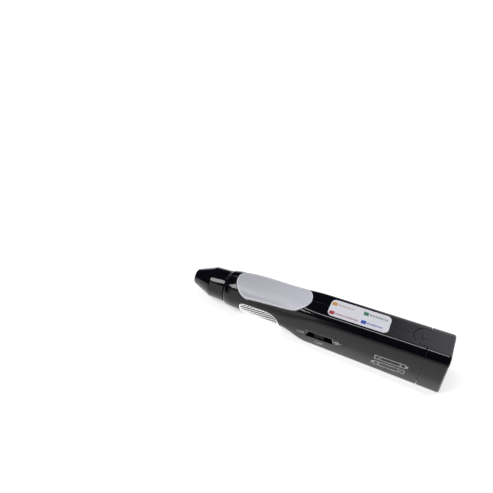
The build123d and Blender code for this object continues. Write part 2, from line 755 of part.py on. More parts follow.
def make_main_board():
    """The main circuit board, held between the two shells."""
    half = REAR_WIDTH / 2 - WALL - CLEARANCE
    return block((BOARD_START_X, BOARD_END_X), (-half, half), (BOARD_BOTTOM_Z, BOARD_TOP_Z))


def led_places():
    """Where the result lamps stand along the board."""
    room = LIGHT_BOX_END_X - LIGHT_BOX_START_X
    step = room / LED_COUNT
    return [LIGHT_BOX_START_X + step * (index + 1 / 2) for index in range(LED_COUNT)]


def make_result_led(x):
    """A square three-colour lamp under the display lens."""
    half = LED_SIDE / 2
    top = BOARD_TOP_Z + LED_HEIGHT
    lamp = block((x - half, x + half), (-half, half), (BOARD_TOP_Z, top))
    return lamp - Pos(x, 0, top) * Cylinder(LED_LENS_RADIUS, 2 * LED_LENS_DEPTH)


def make_light_box():
    """The white box that spreads the lamps' light under the lens."""
    top = FRONT_RADIUS - LENS_THICKNESS - LIGHT_BOX_HEADROOM
    x_range = (LIGHT_BOX_START_X, LIGHT_BOX_END_X)
    half = LIGHT_BOX_WIDTH / 2
    box = block(x_range, (-half, half), (BOARD_TOP_Z, top))
    middle = sum(x_range) / 2
    floor_z = BOARD_TOP_Z + LIGHT_BOX_FLOOR
    length = LIGHT_BOX_END_X - LIGHT_BOX_START_X - 2 * LIGHT_BOX_WALL
    floor_length = length - (LIGHT_BOX_WIDTH - LIGHT_BOX_FLOOR_WIDTH) / 2
    floor = Pos(middle, 0, floor_z) * Rectangle(floor_length, LIGHT_BOX_FLOOR_WIDTH)
    mouth = Pos(middle, 0, top) * Rectangle(length, LIGHT_BOX_WIDTH - 2 * LIGHT_BOX_WALL)
    box -= loft([floor, mouth])
    led_half = LED_SIDE / 2 + SEAT_GAP
    for x in led_places():
        box -= block((x - led_half, x + led_half), (-led_half, led_half), (BOARD_TOP_Z, floor_z))
    return box


def make_control_chip():
    """The control chip on the circuit board."""
    half = CHIP_SIDE / 2
    return block((CHIP_X - half, CHIP_X + half), (-half, half), (BOARD_TOP_Z, BOARD_TOP_Z + CHIP_HEIGHT))


def make_buzzer():
    """The round buzzer under the circuit board."""
    low = BOARD_BOTTOM_Z - BUZZER_HEIGHT
    can = Pos(BUZZER_X, 0, (low + BOARD_BOTTOM_Z) / 2) * Cylinder(BUZZER_RADIUS, BUZZER_HEIGHT)
    return can - Pos(BUZZER_X, 0, low) * Cylinder(BUZZER_HOLE_RADIUS, 2 * BUZZER_HOLE_DEPTH)


def switch_face_y():
    """Where the switch's front face lies, behind the knob's shield."""
    return -half_width(SWITCH_X) + WALL + SEAM_GAP + SHIELD_THICKNESS + SEAM_GAP


def make_switch_case():
    """The case of the slide switch, under the circuit board."""
    face = switch_face_y()
    half = SWITCH_LENGTH / 2
    low = 2 * SWITCH_Z - BOARD_BOTTOM_Z
    case = block((SWITCH_X - half, SWITCH_X + half), (face, face + SWITCH_DEPTH), (low, BOARD_BOTTOM_Z))
    stem_half = STEM_LENGTH / 2 + SWITCH_TRAVEL + CLEARANCE
    slot_half = STEM_HEIGHT / 2 + SEAT_GAP
    return case - block((SWITCH_X - stem_half, SWITCH_X + stem_half),
                        (face - OVERRUN, face + STEM_DEPTH + CLEARANCE),
                        (SWITCH_Z - slot_half, SWITCH_Z + slot_half))


def make_switch_knob():
    """The ribbed knob with the shield that closes the slot behind it."""
    side = -half_width(SWITCH_X)
    shield_y = side + WALL + SEAM_GAP
    shield_end = shield_y + SHIELD_THICKNESS
    shield_half = SWITCH_SLOT_LENGTH / 2 + SWITCH_TRAVEL + SHIELD_LIP
    shield_height = SWITCH_SLOT_HEIGHT / 2 + SHIELD_LIP
    shield = block((SWITCH_X - shield_half, SWITCH_X + shield_half), (shield_y, shield_end),
                   (SWITCH_Z - shield_height, SWITCH_Z + shield_height))
    half = KNOB_LENGTH / 2
    face = side + KNOB_BELOW_SIDE
    knob = block((SWITCH_X - half, SWITCH_X + half), (face, shield_y),
                 (SWITCH_Z - KNOB_HEIGHT / 2, SWITCH_Z + KNOB_HEIGHT / 2))
    stem_half = STEM_LENGTH / 2
    stem = block((SWITCH_X - stem_half, SWITCH_X + stem_half), (shield_end, shield_end + STEM_DEPTH),
                 (SWITCH_Z - STEM_HEIGHT / 2, SWITCH_Z + STEM_HEIGHT / 2))
    piece = shield + knob + stem
    step = KNOB_LENGTH / KNOB_RIB_COUNT
    for index in range(KNOB_RIB_COUNT):
        x = SWITCH_X - half + step * (index + 1 / 2)
        rib_half = KNOB_RIB_WIDTH / 2
        piece += block((x - rib_half, x + rib_half), (face - KNOB_RIB_HEIGHT, face),
                       (SWITCH_Z - KNOB_HEIGHT / 2, SWITCH_Z + KNOB_HEIGHT / 2))
    return piece


def make_cell(start, z, button_forward):
    """A small round cell with its button at one end."""
    end = start + CELL_LENGTH
    if button_forward:
        can = (start + CELL_BUTTON_LENGTH, end)
        button = (start, start + CELL_BUTTON_LENGTH)
    else:
        can = (start, end - CELL_BUTTON_LENGTH)
        button = (end - CELL_BUTTON_LENGTH, end)
    body = rod(can[0], can[1], CELL_RADIUS, 0, z)
    body = fillet(body.edges().filter_by(GeomType.CIRCLE), CELL_EDGE_ROUNDING)
    return body + rod(button[0], button[1], CELL_BUTTON_RADIUS, 0, z)


def make_battery_tray():
    """The tray with a bore for each cell, whose rear end carries the battery cap."""
    bore = CELL_RADIUS + SEAT_GAP
    limit = body_solid(TRAY_FRONT_X, REAR_SEAM_X, -WALL - SEAM_GAP)
    limit += extrude(cross_section(REAR_SEAM_X, -WALL - SEAM_GAP), amount=TRAY_SPIGOT_LENGTH, dir=(1, 0, 0))
    front = block((TRAY_FRONT_X, TRAY_FLOOR_X), (-REAR_WIDTH, REAR_WIDTH), (-REAR_DEPTH, REAR_DEPTH))
    collar_x = REAR_SEAM_X - TRAY_COLLAR_LENGTH
    collar = block((collar_x, TRAY_END_X), (-REAR_WIDTH, REAR_WIDTH), (-REAR_DEPTH, REAR_DEPTH))
    tray = front + collar
    for z in (UPPER_CELL_Z, LOWER_CELL_Z):
        tray += rod(TRAY_FRONT_X, TRAY_END_X, bore + TRAY_WALL, 0, z)
    tray &= limit
    for z in (UPPER_CELL_Z, LOWER_CELL_Z):
        tray -= rod(TRAY_FLOOR_X, TRAY_END_X + OVERRUN, bore, 0, z)
    for y, z in ((LEAD_Y, UPPER_CELL_Z), (LEAD_Y, LOWER_CELL_Z + BLACK_LEAD_RISE)):
        tray -= rod(TRAY_FRONT_X - OVERRUN, TRAY_FLOOR_X + OVERRUN, LEAD_RADIUS + SEAT_GAP, y, z)
    return tray


def make_front_contact(z):
    """A round contact plate at the front of a cell bore."""
    return rod(TRAY_FLOOR_X, TRAY_FLOOR_X + CONTACT_PLATE_THICKNESS, CONTACT_PLATE_RADIUS, 0, z)


def make_front_spring():
    """The spring between the front contact and the lower cell."""
    start = TRAY_FLOOR_X + CONTACT_PLATE_THICKNESS
    return coil(start, LOWER_CELL_X - RUNNING_FIT, BATTERY_SPRING_RADIUS,
                BATTERY_SPRING_WIRE_RADIUS, BATTERY_SPRING_TURNS, LOWER_CELL_Z)


def make_cap_spring():
    """The spring in the battery cap that presses on the upper cell."""
    start = UPPER_CELL_X + CELL_LENGTH + SEAM_GAP
    return coil(start, BRIDGE_X, BATTERY_SPRING_RADIUS,
                BATTERY_SPRING_WIRE_RADIUS, BATTERY_SPRING_TURNS, UPPER_CELL_Z)


def bridge_z_range():
    """How high the contact bridge reaches, past the middles of both cells."""
    return (LOWER_CELL_Z - CONTACT_PLATE_RADIUS, UPPER_CELL_Z + CONTACT_PLATE_RADIUS)


def make_cap_bridge():
    """The contact plate in the battery cap, which joins the two cells."""
    half = BRIDGE_WIDTH / 2
    return block((BRIDGE_X, BRIDGE_X + CONTACT_PLATE_THICKNESS), (-half, half), bridge_z_range())


def make_battery_cap():
    """The rear cap with its round-ended tongue, which slides off backwards."""
    front = REAR_SEAM_X + CAP_JOINT_GAP
    outside = body_solid(front, LENGTH, 0)
    rear_edges = outside.faces().sort_by(Axis.X)[-1].edges()
    outside = fillet(rear_edges, REAR_EDGE_RADIUS)
    cap = outside - body_solid(front - OVERRUN, LENGTH - WALL, -WALL)
    half = BRIDGE_WIDTH / 2 + CONTACT_PLATE_THICKNESS
    pad_x = BRIDGE_X + CONTACT_PLATE_THICKNESS
    cap += block((pad_x, LENGTH - WALL / 2), (-half, half), bridge_z_range())
    start = REAR_SEAM_X - TONGUE_REACH - OVERRUN
    sheet = body_solid(start, front + WALL, 0) - body_solid(start, front + WALL, -TONGUE_THICKNESS)
    return cap + (sheet & tongue_outline(0))


def make_red_lead():
    """The lead from the upper cell's contact down to the circuit board."""
    landing_z = BOARD_TOP_Z + LEAD_RADIUS
    return bent_wire([
        (TRAY_FLOOR_X, LEAD_Y, UPPER_CELL_Z),
        (BOARD_END_X + LEAD_LANDING / 2, LEAD_Y, UPPER_CELL_Z),
        (BOARD_END_X - LEAD_LANDING / 2, LEAD_Y, landing_z),
        (BOARD_END_X - 2 * LEAD_LANDING, LEAD_Y, landing_z),
    ], LEAD_RADIUS, LEAD_BEND)


def make_black_lead():
    """The lead from the lower cell's contact up to the circuit board."""
    start_z = LOWER_CELL_Z + BLACK_LEAD_RISE
    landing_z = BOARD_BOTTOM_Z - LEAD_RADIUS
    return bent_wire([
        (TRAY_FLOOR_X, LEAD_Y, start_z),
        (BOARD_END_X + LEAD_LANDING / 2, LEAD_Y, start_z),
        (BOARD_END_X - LEAD_LANDING / 2, LEAD_Y, landing_z),
        (BOARD_END_X - 2 * LEAD_LANDING, LEAD_Y, landing_z),
    ], LEAD_RADIUS, LEAD_BEND)


def make_housing_screws():
    """The three slotted screws that join the shells."""
    screws = []
    for x, z in screw_places():
        head_top = half_width(x) - SCREW_BELOW_SURFACE
        head_low = head_top - SCREW_HEAD_HEIGHT
        screw = cross_rod(x, z, head_low, head_top, SCREW_HEAD_RADIUS)
        screw += cross_rod(x, z, -SCREW_REACH, head_low, SCREW_SHANK_RADIUS)
        half = SCREW_SLOT_WIDTH / 2
        reach = SCREW_HEAD_RADIUS + OVERRUN
        screw -= block((x - half, x + half), (head_top - SCREW_SLOT_DEPTH, head_top + OVERRUN),
                       (z - reach, z + reach))
        screws.append(screw)
    return Compound(children=screws)


def make_colour_label():
    """The thin colour guide label on top of the body."""
    middle = LABEL_START_X + LABEL_LENGTH / 2
    outline = Pos(middle, 0, FRONT_RADIUS) * RectangleRounded(LABEL_LENGTH, LABEL_WIDTH, LABEL_CORNER)
    return extrude(outline, amount=LABEL_THICKNESS)


def make_pieces():
    """Every piece of the pen under its own name."""
    near_shell, far_shell = make_shells()
    pieces = {
        "switch_side_shell": near_shell,
        "plain_side_shell": far_shell,
        "display_lens": make_display_lens(),
        "light_box": make_light_box(),
        "colour_label": make_colour_label(),
        "grip_plate": make_grip_plate(),
        "grip_contact": make_grip_contact(),
        "nose_cap": make_nose_cap(),
        "nose_holder": make_nose_holder(),
        "sealing_ring": make_sealing_ring(),
        "probe_needle": make_probe_needle(),
        "probe_sleeve": make_probe_sleeve(),
        "probe_collar": make_probe_collar(),
        "probe_heater": make_probe_heater(),
        "probe_spring": make_probe_spring(),
        "probe_retainer": make_probe_retainer(),
        "probe_lead": make_probe_lead(),
        "uv_lamp": make_uv_lamp(),
        "uv_lamp_leads": make_uv_lamp_leads(),
        "main_board": make_main_board(),
        "control_chip": make_control_chip(),
        "buzzer": make_buzzer(),
        "switch_case": make_switch_case(),
        "switch_knob": make_switch_knob(),
        "battery_tray": make_battery_tray(),
        "upper_cell": make_cell(UPPER_CELL_X, UPPER_CELL_Z, True),
        "lower_cell": make_cell(LOWER_CELL_X, LOWER_CELL_Z, False),
        "upper_front_contact": make_front_contact(UPPER_CELL_Z),
        "lower_front_contact": make_front_contact(LOWER_CELL_Z),
        "front_spring": make_front_spring(),
        "cap_spring": make_cap_spring(),
        "cap_bridge": make_cap_bridge(),
        "battery_cap": make_battery_cap(),
        "red_lead": make_red_lead(),
        "black_lead": make_black_lead(),
        "housing_screws": make_housing_screws(),
    }
    for name, x in zip(LED_NAMES, led_places()):
        pieces["result_led_" + name] = make_result_led(x)
    return pieces


def lying_place(pieces):
    """The move that lays the pen on its flat underside, centred over the origin."""
    turn = Rot(0, -LYING_ANGLE, 0)
    boxes = [(turn * piece).bounding_box() for piece in pieces.values()]
    middle_x = (min(box.min.X for box in boxes) + max(box.max.X for box in boxes)) / 2
    middle_y = (min(box.min.Y for box in boxes) + max(box.max.Y for box in boxes)) / 2
    lowest = min(box.min.Z for box in boxes)
    return Pos(-middle_x, -middle_y, -lowest) * turn


def main():
    """Builds, lays down and writes every piece."""
    os.makedirs("parts", exist_ok=True)
    pieces = make_pieces()
    lying = lying_place(pieces)
    for name, piece in pieces.items():
        export_step(lying * piece, os.path.join("parts", name + ".step"))
    print("pieces", len(pieces))
    print("lying angle", LYING_ANGLE, "shift", lying.position)
    print("gap between battery spring turns", spring_gap(
        BATTERY_SPRING_LENGTH - RUNNING_FIT, BATTERY_SPRING_WIRE_RADIUS, BATTERY_SPRING_TURNS))
    print("gap between probe spring turns, probe pushed in", spring_gap(
        probe_spring_length() - PROBE_TRAVEL, PROBE_SPRING_WIRE_RADIUS, PROBE_SPRING_TURNS))


main()
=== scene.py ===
import json
import math

import bmesh
import bpy
from mathutils import Matrix, Vector


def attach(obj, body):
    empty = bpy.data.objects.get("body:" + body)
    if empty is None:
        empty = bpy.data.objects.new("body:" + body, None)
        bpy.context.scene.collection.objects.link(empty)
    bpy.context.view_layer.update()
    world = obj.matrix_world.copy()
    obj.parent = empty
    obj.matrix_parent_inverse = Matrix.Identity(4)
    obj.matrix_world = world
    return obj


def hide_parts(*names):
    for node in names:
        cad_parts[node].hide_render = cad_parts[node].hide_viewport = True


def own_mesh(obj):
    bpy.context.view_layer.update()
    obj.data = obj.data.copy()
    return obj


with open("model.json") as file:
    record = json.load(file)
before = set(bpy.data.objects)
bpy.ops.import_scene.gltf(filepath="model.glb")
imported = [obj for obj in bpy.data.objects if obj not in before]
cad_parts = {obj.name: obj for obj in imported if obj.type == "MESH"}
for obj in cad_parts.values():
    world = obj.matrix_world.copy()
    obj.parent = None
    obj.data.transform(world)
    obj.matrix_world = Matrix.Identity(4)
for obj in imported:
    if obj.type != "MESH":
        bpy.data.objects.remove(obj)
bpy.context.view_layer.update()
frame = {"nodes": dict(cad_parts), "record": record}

# The pen is drawn in millimetres in its own axes: x from the nose tip along the nose
# axis, z up through the lens, the switch side towards -y. It is then laid down.
MM = 0.001
LYING_ANGLE = math.radians(3.30873)
PEN_SHIFT = Vector((-80.2476, 0, 9.96321))
LAY_DOWN = (
    Matrix.Scale(MM, 4)
    @ Matrix.Translation(PEN_SHIFT)
    @ Matrix.Rotation(-LYING_ANGLE, 4, "Y")
)
FULL_TURN = 2 * math.pi
QUARTER_TURN = math.pi / 2
MERGE_DISTANCE = 0.0005
ON_AXIS = 1e-6
TURN_STEPS = 160
ROUND_SEGMENTS = 8
ROUND_PROFILE = 0.5

# Outline of the body
NOSE_CAP_LENGTH = 23.8
SHOULDER_LENGTH = 7.2
SHOULDER_END_X = NOSE_CAP_LENGTH + SHOULDER_LENGTH
RIM_RADIUS = 10.4
FRONT_RADIUS = 11.8
REAR_WIDTH = 22.6
REAR_DEPTH = 31.0
BODY_LENGTH = 160.0
HEEL_X = 32.0
SQUARE_TOP_X = 46.0
FLARE_START_X = 61.6
SQUARE_BELLY_X = 79.6
FLARE_END_X = 85.6
SIDE_FLAT = 0.3
LENS_EDGE_RADIUS = 8.8
TOP_EDGE_RADIUS = 5.0
GRIP_EDGE_RADIUS = 9.9
BOTTOM_EDGE_RADIUS = 1.5
UNDERSIDE_SLOPE = (REAR_DEPTH - 2 * FRONT_RADIUS) / (BODY_LENGTH - HEEL_X)
SEAM_GAP = 0.15
NOSE_JOINT_GAP = 0.5
REAR_SEAM_X = 146.3
GROOVE_WIDTH = 0.4
GROOVE_DEPTH = 0.25
JOINT_LIP_INSET = 0.45
JOINT_LIP_LENGTH = 0.3

# Nose cap
CAP_TIP_RADIUS = 5.0
CAP_TIP_ROUNDING = 1.0
CAP_CONE_LENGTH = 12.6
CAP_BAND_RADIUS = 10.0
CAP_CREASE_ROUNDING = 4.0
CAP_RIM_ROUNDING = 0.3
CAP_WALL = 1.3
CAP_TIP_WALL = 1.6

# Grip plate
GRIP_START_X = 35.4
GRIP_LENGTH = 26.2
GRIP_TOP_Z = 2.5
GRIP_FRONT_CORNER = 3.5
GRIP_REAR_CORNER = 9.0
GRIP_DEPTH = 0.15
GRIP_THICKNESS = 1.0
GRIP_COLUMNS = 132
GRIP_ROWS = 236
KNURL_PITCH = 2.0
KNURL_RIDGE = 0.14
KNURL_SLOPE = 0.3
KNURL_DEPTH = 0.38
KNURL_BORDER = 0.4

# Display lens
LENS_START_X = 30.0
LENS_LENGTH = 48.2
LENS_FRONT_RADIUS = 10.6
LENS_REAR_RADIUS = 9.6
LENS_THICKNESS = 1.5
LENS_PROUD = 0.2
LENS_RIM_ROUNDING = 0.4
LENS_RIM_SEGMENTS = 4
LENS_ROUND_SEGMENTS = 128
LENS_SIDE_CUTS = 26
LENS_RIM_WIDTH = 0.7
LENS_RINGS = (0.6, 0.8, 1.0, 1.2, 1.2, 1.2, 1.2, 1.2)

# Slide switch
SWITCH_X = 87.6
SWITCH_Z = -5.0
KNOB_LENGTH = 6.3
KNOB_HEIGHT = 4.0
KNOB_BELOW_SIDE = 0.6
KNOB_RIBS = 4
KNOB_RIB_WIDTH = 0.7
KNOB_RIB_HEIGHT = 0.25
WALL = 1.8
SHIELD_THICKNESS = 0.7
SHIELD_LENGTH = 20.4
SHIELD_HEIGHT = 5.1
STEM_SIZE = (2.4, 2.2, 1.8)
SMALL_EDGE = 0.15
SMALL_EDGE_SEGMENTS = 3

# Spring and lead of the probe, in the nose
SPRING_START_X = 23.7
SPRING_END_X = 35.95
SPRING_RADIUS = 2.5
SPRING_WIRE_RADIUS = 0.25
SPRING_TURNS = 6
SPRING_TURN_STEPS = 36
WIRE_SEGMENTS = 12
PROBE_LEAD_RADIUS = 0.4
PROBE_LEAD_PATH = ((34.05, 0, 0), (39, 0, 0), (40.6, 0, -0.5), (43.6, 0, -0.5))
LEAD_ROUND_STEPS = 4
LEAD_CURVE_ORDER = 3

# Colour guide label and prints
LABEL_START_X = 89.2
LABEL_LENGTH = 35.4
LABEL_WIDTH = 12.6
LABEL_THICKNESS = 0.15
LABEL_CORNER = 3.0
PRINT_THICKNESS = 0.02
PATCH_SIZE = (2.9, 2.5)
PATCH_CORNER = 0.3
DASH_HEIGHT = 1.3
DASH_GAP = 0.42
DASH_CORNER = 0.15
LETTER_STEPS = 4
LETTER_DEPTH = 0.5

# Marks beside the slide switch: the middle and size of each word, then the lamp sign
ON_MARK = ((75.9, SWITCH_Z), (4.1, 2.2))
OFF_MARK = ((87.8, -10.7), (4.9, 1.9))
LAMP_SIGN_X = 98.5
LAMP_RING_SIZE = (2.7, 2.7)
LAMP_RING_CORNER = 1.3
LAMP_RING_LINE = 0.4
LAMP_CROSS_SIZE = (1.5, 1.5)
LAMP_WIRE_REACH = 2.0
LAMP_WIRE_SIZE = (0.9, 0.4)
LAMP_WIRE_CORNER = 0.1

# Battery outlines on the side: the height of each row and the way that its cell points
CELL_MARK_ROWS = ((-5.0, 1), (-10.2, -1))
CELL_MARK_X = 130
CELL_MARK_SIZE = (18, 3.6)
CELL_MARK_CORNER = 0.5
CELL_MARK_LINE = 0.5
CELL_TIP_REACH = 9.7
CELL_TIP_SIZE = (1.2, 1.8)
CELL_TIP_CORNER = 0.2
CELL_SIGN_REACH = 6
PLUS_SIZE = (2.0, 2.0)
MINUS_SIZE = (2.0, 0.5)

# Tongue of the battery cap and the arrow on it
TONGUE_FRONT_X = 137.9
TONGUE_RADIUS = 5.7
ARROW_X = 143.6
ARROW_RADIUS = 2.6
ARROW_HEIGHT = 0.12


def ease(x, start, end, first, last):
    """A value that turns smoothly from first to last between two places."""
    share = min(max((x - start) / (end - start), 0), 1)
    share = share * share * (3 - 2 * share)
    return first + (last - first) * share


def shoulder_radius(x):
    """Radius of the front shoulder, a quarter of an ellipse behind the nose cap."""
    share = min(max((SHOULDER_END_X - x) / SHOULDER_LENGTH, 0), 1)
    return RIM_RADIUS + (FRONT_RADIUS - RIM_RADIUS) * math.sqrt(1 - share * share)


def half_width(x):
    """Half of the body's width at a place along it."""
    if x < SHOULDER_END_X:
        return shoulder_radius(x)
    return ease(x, FLARE_START_X, FLARE_END_X, FRONT_RADIUS, REAR_WIDTH / 2)


def underside(x):
    """Height of the flat underside at a place along the body."""
    flat = -FRONT_RADIUS - UNDERSIDE_SLOPE * (x - HEEL_X)
    if x < HEEL_X:
        return max(-shoulder_radius(x), flat)
    return flat


def top_edge(x):
    """Rounding of the two top edges."""
    if x < SQUARE_TOP_X:
        start = NOSE_CAP_LENGTH + SHOULDER_LENGTH / 2
        return ease(x, start, SQUARE_TOP_X, shoulder_radius(x) - SIDE_FLAT, LENS_EDGE_RADIUS)
    return ease(x, FLARE_START_X, FLARE_END_X, LENS_EDGE_RADIUS, TOP_EDGE_RADIUS)


def bottom_edge(x):
    """Rounding of the two bottom edges."""
    if x < FLARE_START_X:
        round_edge = shoulder_radius(x) - SIDE_FLAT
        return ease(x, SHOULDER_END_X, FLARE_START_X, round_edge, GRIP_EDGE_RADIUS)
    return ease(x, FLARE_START_X, SQUARE_BELLY_X, GRIP_EDGE_RADIUS, BOTTOM_EDGE_RADIUS)


def top_height(x, y):
    """Height of the body's top surface."""
    radius = top_edge(x)
    over = min(abs(y) - (half_width(x) - radius), radius)
    if over <= 0:
        return FRONT_RADIUS
    return FRONT_RADIUS - radius + math.sqrt(radius * radius - over * over)


def finish_piece(name, bm, materials, body, replaced=(), smooth_angle=35):
    """Lays a drawn piece down in the frame and hands it to its body."""
    bmesh.ops.remove_doubles(bm, verts=bm.verts[:], dist=MERGE_DISTANCE)
    bmesh.ops.recalc_face_normals(bm, faces=bm.faces[:])
    lowest = min(bm.faces, key=lambda face: face.calc_center_median().z)
    if lowest.normal.z > 0:
        bmesh.ops.reverse_faces(bm, faces=bm.faces[:])
    bmesh.ops.transform(bm, matrix=LAY_DOWN, verts=bm.verts[:])
    mesh = bpy.data.meshes.new(name)
    bm.to_mesh(mesh)
    bm.free()
    mesh.shade_smooth()
    mesh.set_sharp_from_angle(angle=math.radians(smooth_angle))
    piece = bpy.data.objects.new(name, mesh)
    bpy.context.scene.collection.objects.link(piece)
    for material in materials:
        mesh.materials.append(material)
    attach(piece, body)
    if replaced:
        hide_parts(*replaced)
    return piece


def round_off(bm, geom, reach, affect, segments=ROUND_SEGMENTS, material=-1):
    """Rounds corners or edges off, from a given distance on each side."""
    bmesh.ops.bevel(bm, geom=geom, offset=reach, offset_type="OFFSET", segments=segments,
                    profile=ROUND_PROFILE, affect=affect, material=material)


def rounded_profile(corners):
    """A flat ring of edges in the xz plane from (x, radius, rounding) corners."""
    bm = bmesh.new()
    verts = [bm.verts.new((x, 0, radius)) for x, radius, rounding in corners]
    face = bm.faces.new(verts)
    for index, vert in enumerate(verts):
        rounding = corners[index][2]
        if not rounding:
            continue
        before = Vector(corners[index - 1][:2]) - Vector(corners[index][:2])
        after = Vector(corners[(index + 1) % len(corners)][:2]) - Vector(corners[index][:2])
        reach = rounding / math.tan(before.angle(after) / 2)
        round_off(bm, [vert], reach, "VERTICES")
    return bm


def inset(bm, faces, width):
    """Draws a border just inside a region and returns the border's faces."""
    made = bmesh.ops.inset_region(bm, faces=faces, thickness=width, use_even_offset=True,
                                  use_boundary=True)
    return made["faces"]


def thicken(bm, faces, move):
    """Makes a solid of a sheet by drawing its faces out along a move."""
    made = bmesh.ops.extrude_face_region(bm, geom=faces)
    moved = [v for v in made["geom"] if isinstance(v, bmesh.types.BMVert)]
    bmesh.ops.translate(bm, vec=move, verts=moved)


def plain_box(bm, middle, size):
    """Adds a box with sharp edges and returns its edges."""
    made = bmesh.ops.create_cube(bm, size=1)
    place = Matrix.Translation(middle) @ Matrix.Diagonal((*size, 1))
    bmesh.ops.transform(bm, matrix=place, verts=made["verts"])
    return {e for v in made["verts"] for e in v.link_edges}


def curve_form(bm, curve):
    """Adds the form that a curve draws and returns its vertices."""
    holder = bpy.data.objects.new(curve.name, curve)
    drawn = bpy.data.meshes.new_from_object(holder)
    bpy.data.objects.remove(holder)
    before = set(bm.verts)
    bm.from_mesh(drawn)
    bpy.data.meshes.remove(drawn)
    return [v for v in bm.verts if v not in before]


def turn_profile(bm):
    """Spins a profile once round the nose axis."""
    bmesh.ops.delete(bm, geom=bm.faces[:], context="FACES_ONLY")
    on_axis = [e for e in bm.edges if all(abs(v.co.z) < ON_AXIS for v in e.verts)]
    bmesh.ops.delete(bm, geom=on_axis, context="EDGES")
    bmesh.ops.spin(bm, geom=bm.edges[:], cent=(0, 0, 0), axis=(1, 0, 0), dvec=(0, 0, 0),
                   angle=FULL_TURN, steps=TURN_STEPS, use_merge=True, use_duplicate=False)
    return bm


def softened_block(bm, low, high):
    """Adds a box between two corners with slightly rounded edges."""
    size = [b - a for a, b in zip(low, high)]
    middle = [(a + b) / 2 for a, b in zip(low, high)]
    round_off(bm, list(plain_box(bm, middle, size)), SMALL_EDGE, "EDGES", SMALL_EDGE_SEGMENTS)


# Materials. Scales are in cycles per metre, depths and radii in metres.

GRAIN_DETAIL = 3.0
BUMP_DETAIL = 4.0
GLOSS_PATCHES = (0.3, 0.7)
TINT_PATCHES = (0.35, 0.65)
EDGE_SAMPLES = 6
PLASTIC_TINT_SCALE = 180
PLASTIC_GLOSS_SCALE = 320
PLASTIC_GRAIN_SCALE = 2600
PLASTIC_GRAIN_DEPTH = 0.000004
METAL_TINT = (0.88, 1.08)
METAL_TINT_SCALE = 400
METAL_GLOSS_SCALE = 900
METAL_GRAIN_SCALE = 5200
METAL_GRAIN_DEPTH = 0.000003
# Depths of the knurl over which the plating turns to the painted shade of the pits
KNURL_PIT_SHADE_DEPTHS = (0.25, 0.85)


def feed(owner, socket, value):
    """Sets an input to a plain value, or links another node's output to it."""
    if isinstance(value, bpy.types.NodeSocket):
        owner.node_tree.links.new(value, socket)
    else:
        socket.default_value = value


def add_node(owner, kind, output, inputs=None, **settings):
    """Adds a node to a material or world and returns one of its outputs."""
    node = owner.node_tree.nodes.new(kind)
    for key, value in settings.items():
        setattr(node, key, value)
    for key, value in (inputs or {}).items():
        feed(owner, node.inputs[key], value)
    return node.outputs[output]


def mapped(owner, value, span, result=(0, 1)):
    """Turns a value within one span into one within another, held at both ends."""
    return add_node(owner, "ShaderNodeMapRange", "Result", {
        "Value": value, "From Min": span[0], "From Max": span[1],
        "To Min": result[0], "To Max": result[1],
    })


def calculated(owner, operation, *values):
    """What a sum or a product makes of some values."""
    return add_node(owner, "ShaderNodeMath", "Value", dict(enumerate(values)),
                    operation=operation)


def axis_value(owner, place, axis):
    """One axis of a place or a direction."""
    return add_node(owner, "ShaderNodeSeparateXYZ", axis, {0: place})


def own_place(owner):
    """The place of a point in its object's own space."""
    return add_node(owner, "ShaderNodeTexCoord", "Object")


def grain(owner, scale, detail=GRAIN_DETAIL):
    """Noise in the object's own space."""
    return add_node(owner, "ShaderNodeTexNoise", "Fac",
                    {"Vector": own_place(owner), "Scale": scale, "Detail": detail})


def colour_between(owner, share, first, last, span=(0, 1)):
    """A colour that turns from first to last as the share rises through a span."""
    ramp = owner.node_tree.nodes.new("ShaderNodeValToRGB")
    for stop, position, colour in zip(ramp.color_ramp.elements, span, (first, last)):
        stop.position = position
        stop.color = (*colour, 1)
    feed(owner, ramp.inputs["Fac"], share)
    return ramp.outputs["Color"]


def shader_material(name, colour, roughness, metallic=0.0):
    """A new material and its Principled shader, with even values on its sockets."""
    material = bpy.data.materials.new(name)
    material.use_nodes = True
    shader = material.node_tree.nodes["Principled BSDF"]
    shader.inputs["Base Color"].default_value = (*colour, 1)
    shader.inputs["Roughness"].default_value = roughness
    shader.inputs["Metallic"].default_value = metallic
    return material, shader


def vary_roughness(material, shader, scale, rough):
    """Lets the roughness drift between two values in soft patches."""
    drift = mapped(material, grain(material, scale), GLOSS_PATCHES, rough)
    feed(material, shader.inputs["Roughness"], drift)


def vary_colour(material, shader, scale, dark, pale):
    """Lets the colour drift between two shades in soft patches."""
    tint = colour_between(material, grain(material, scale), dark, pale, TINT_PATCHES)
    feed(material, shader.inputs["Base Color"], tint)


def paint_shading_along_lens(material, shader, front, rear):
    """Paints shade and light along the lens: its colour turns evenly from the front of the lens to
    its rear.
    """
    ends = [(x + PEN_SHIFT.x) * MM for x in (LENS_START_X, LENS_START_X + LENS_LENGTH)]
    share = mapped(material, axis_value(material, own_place(material), "X"), ends)
    feed(material, shader.inputs["Base Color"], colour_between(material, share, front, rear))


def add_bump(material, shader, scale, depth, edge_rounding):
    """A fine moulded or drawn grain, and softly rounded edges where a radius is given."""
    inputs = {"Height": grain(material, scale, BUMP_DETAIL), "Strength": 1.0, "Distance": depth}
    if edge_rounding:
        inputs["Normal"] = add_node(material, "ShaderNodeBevel", "Normal",
                                    {"Radius": edge_rounding}, samples=EDGE_SAMPLES)
    bump = add_node(material, "ShaderNodeBump", "Normal", inputs)
    feed(material, shader.inputs["Normal"], bump)


def shade(colour, factor):
    """A colour made darker or paler by a factor."""
    return tuple(min(channel * factor, 1) for channel in colour)


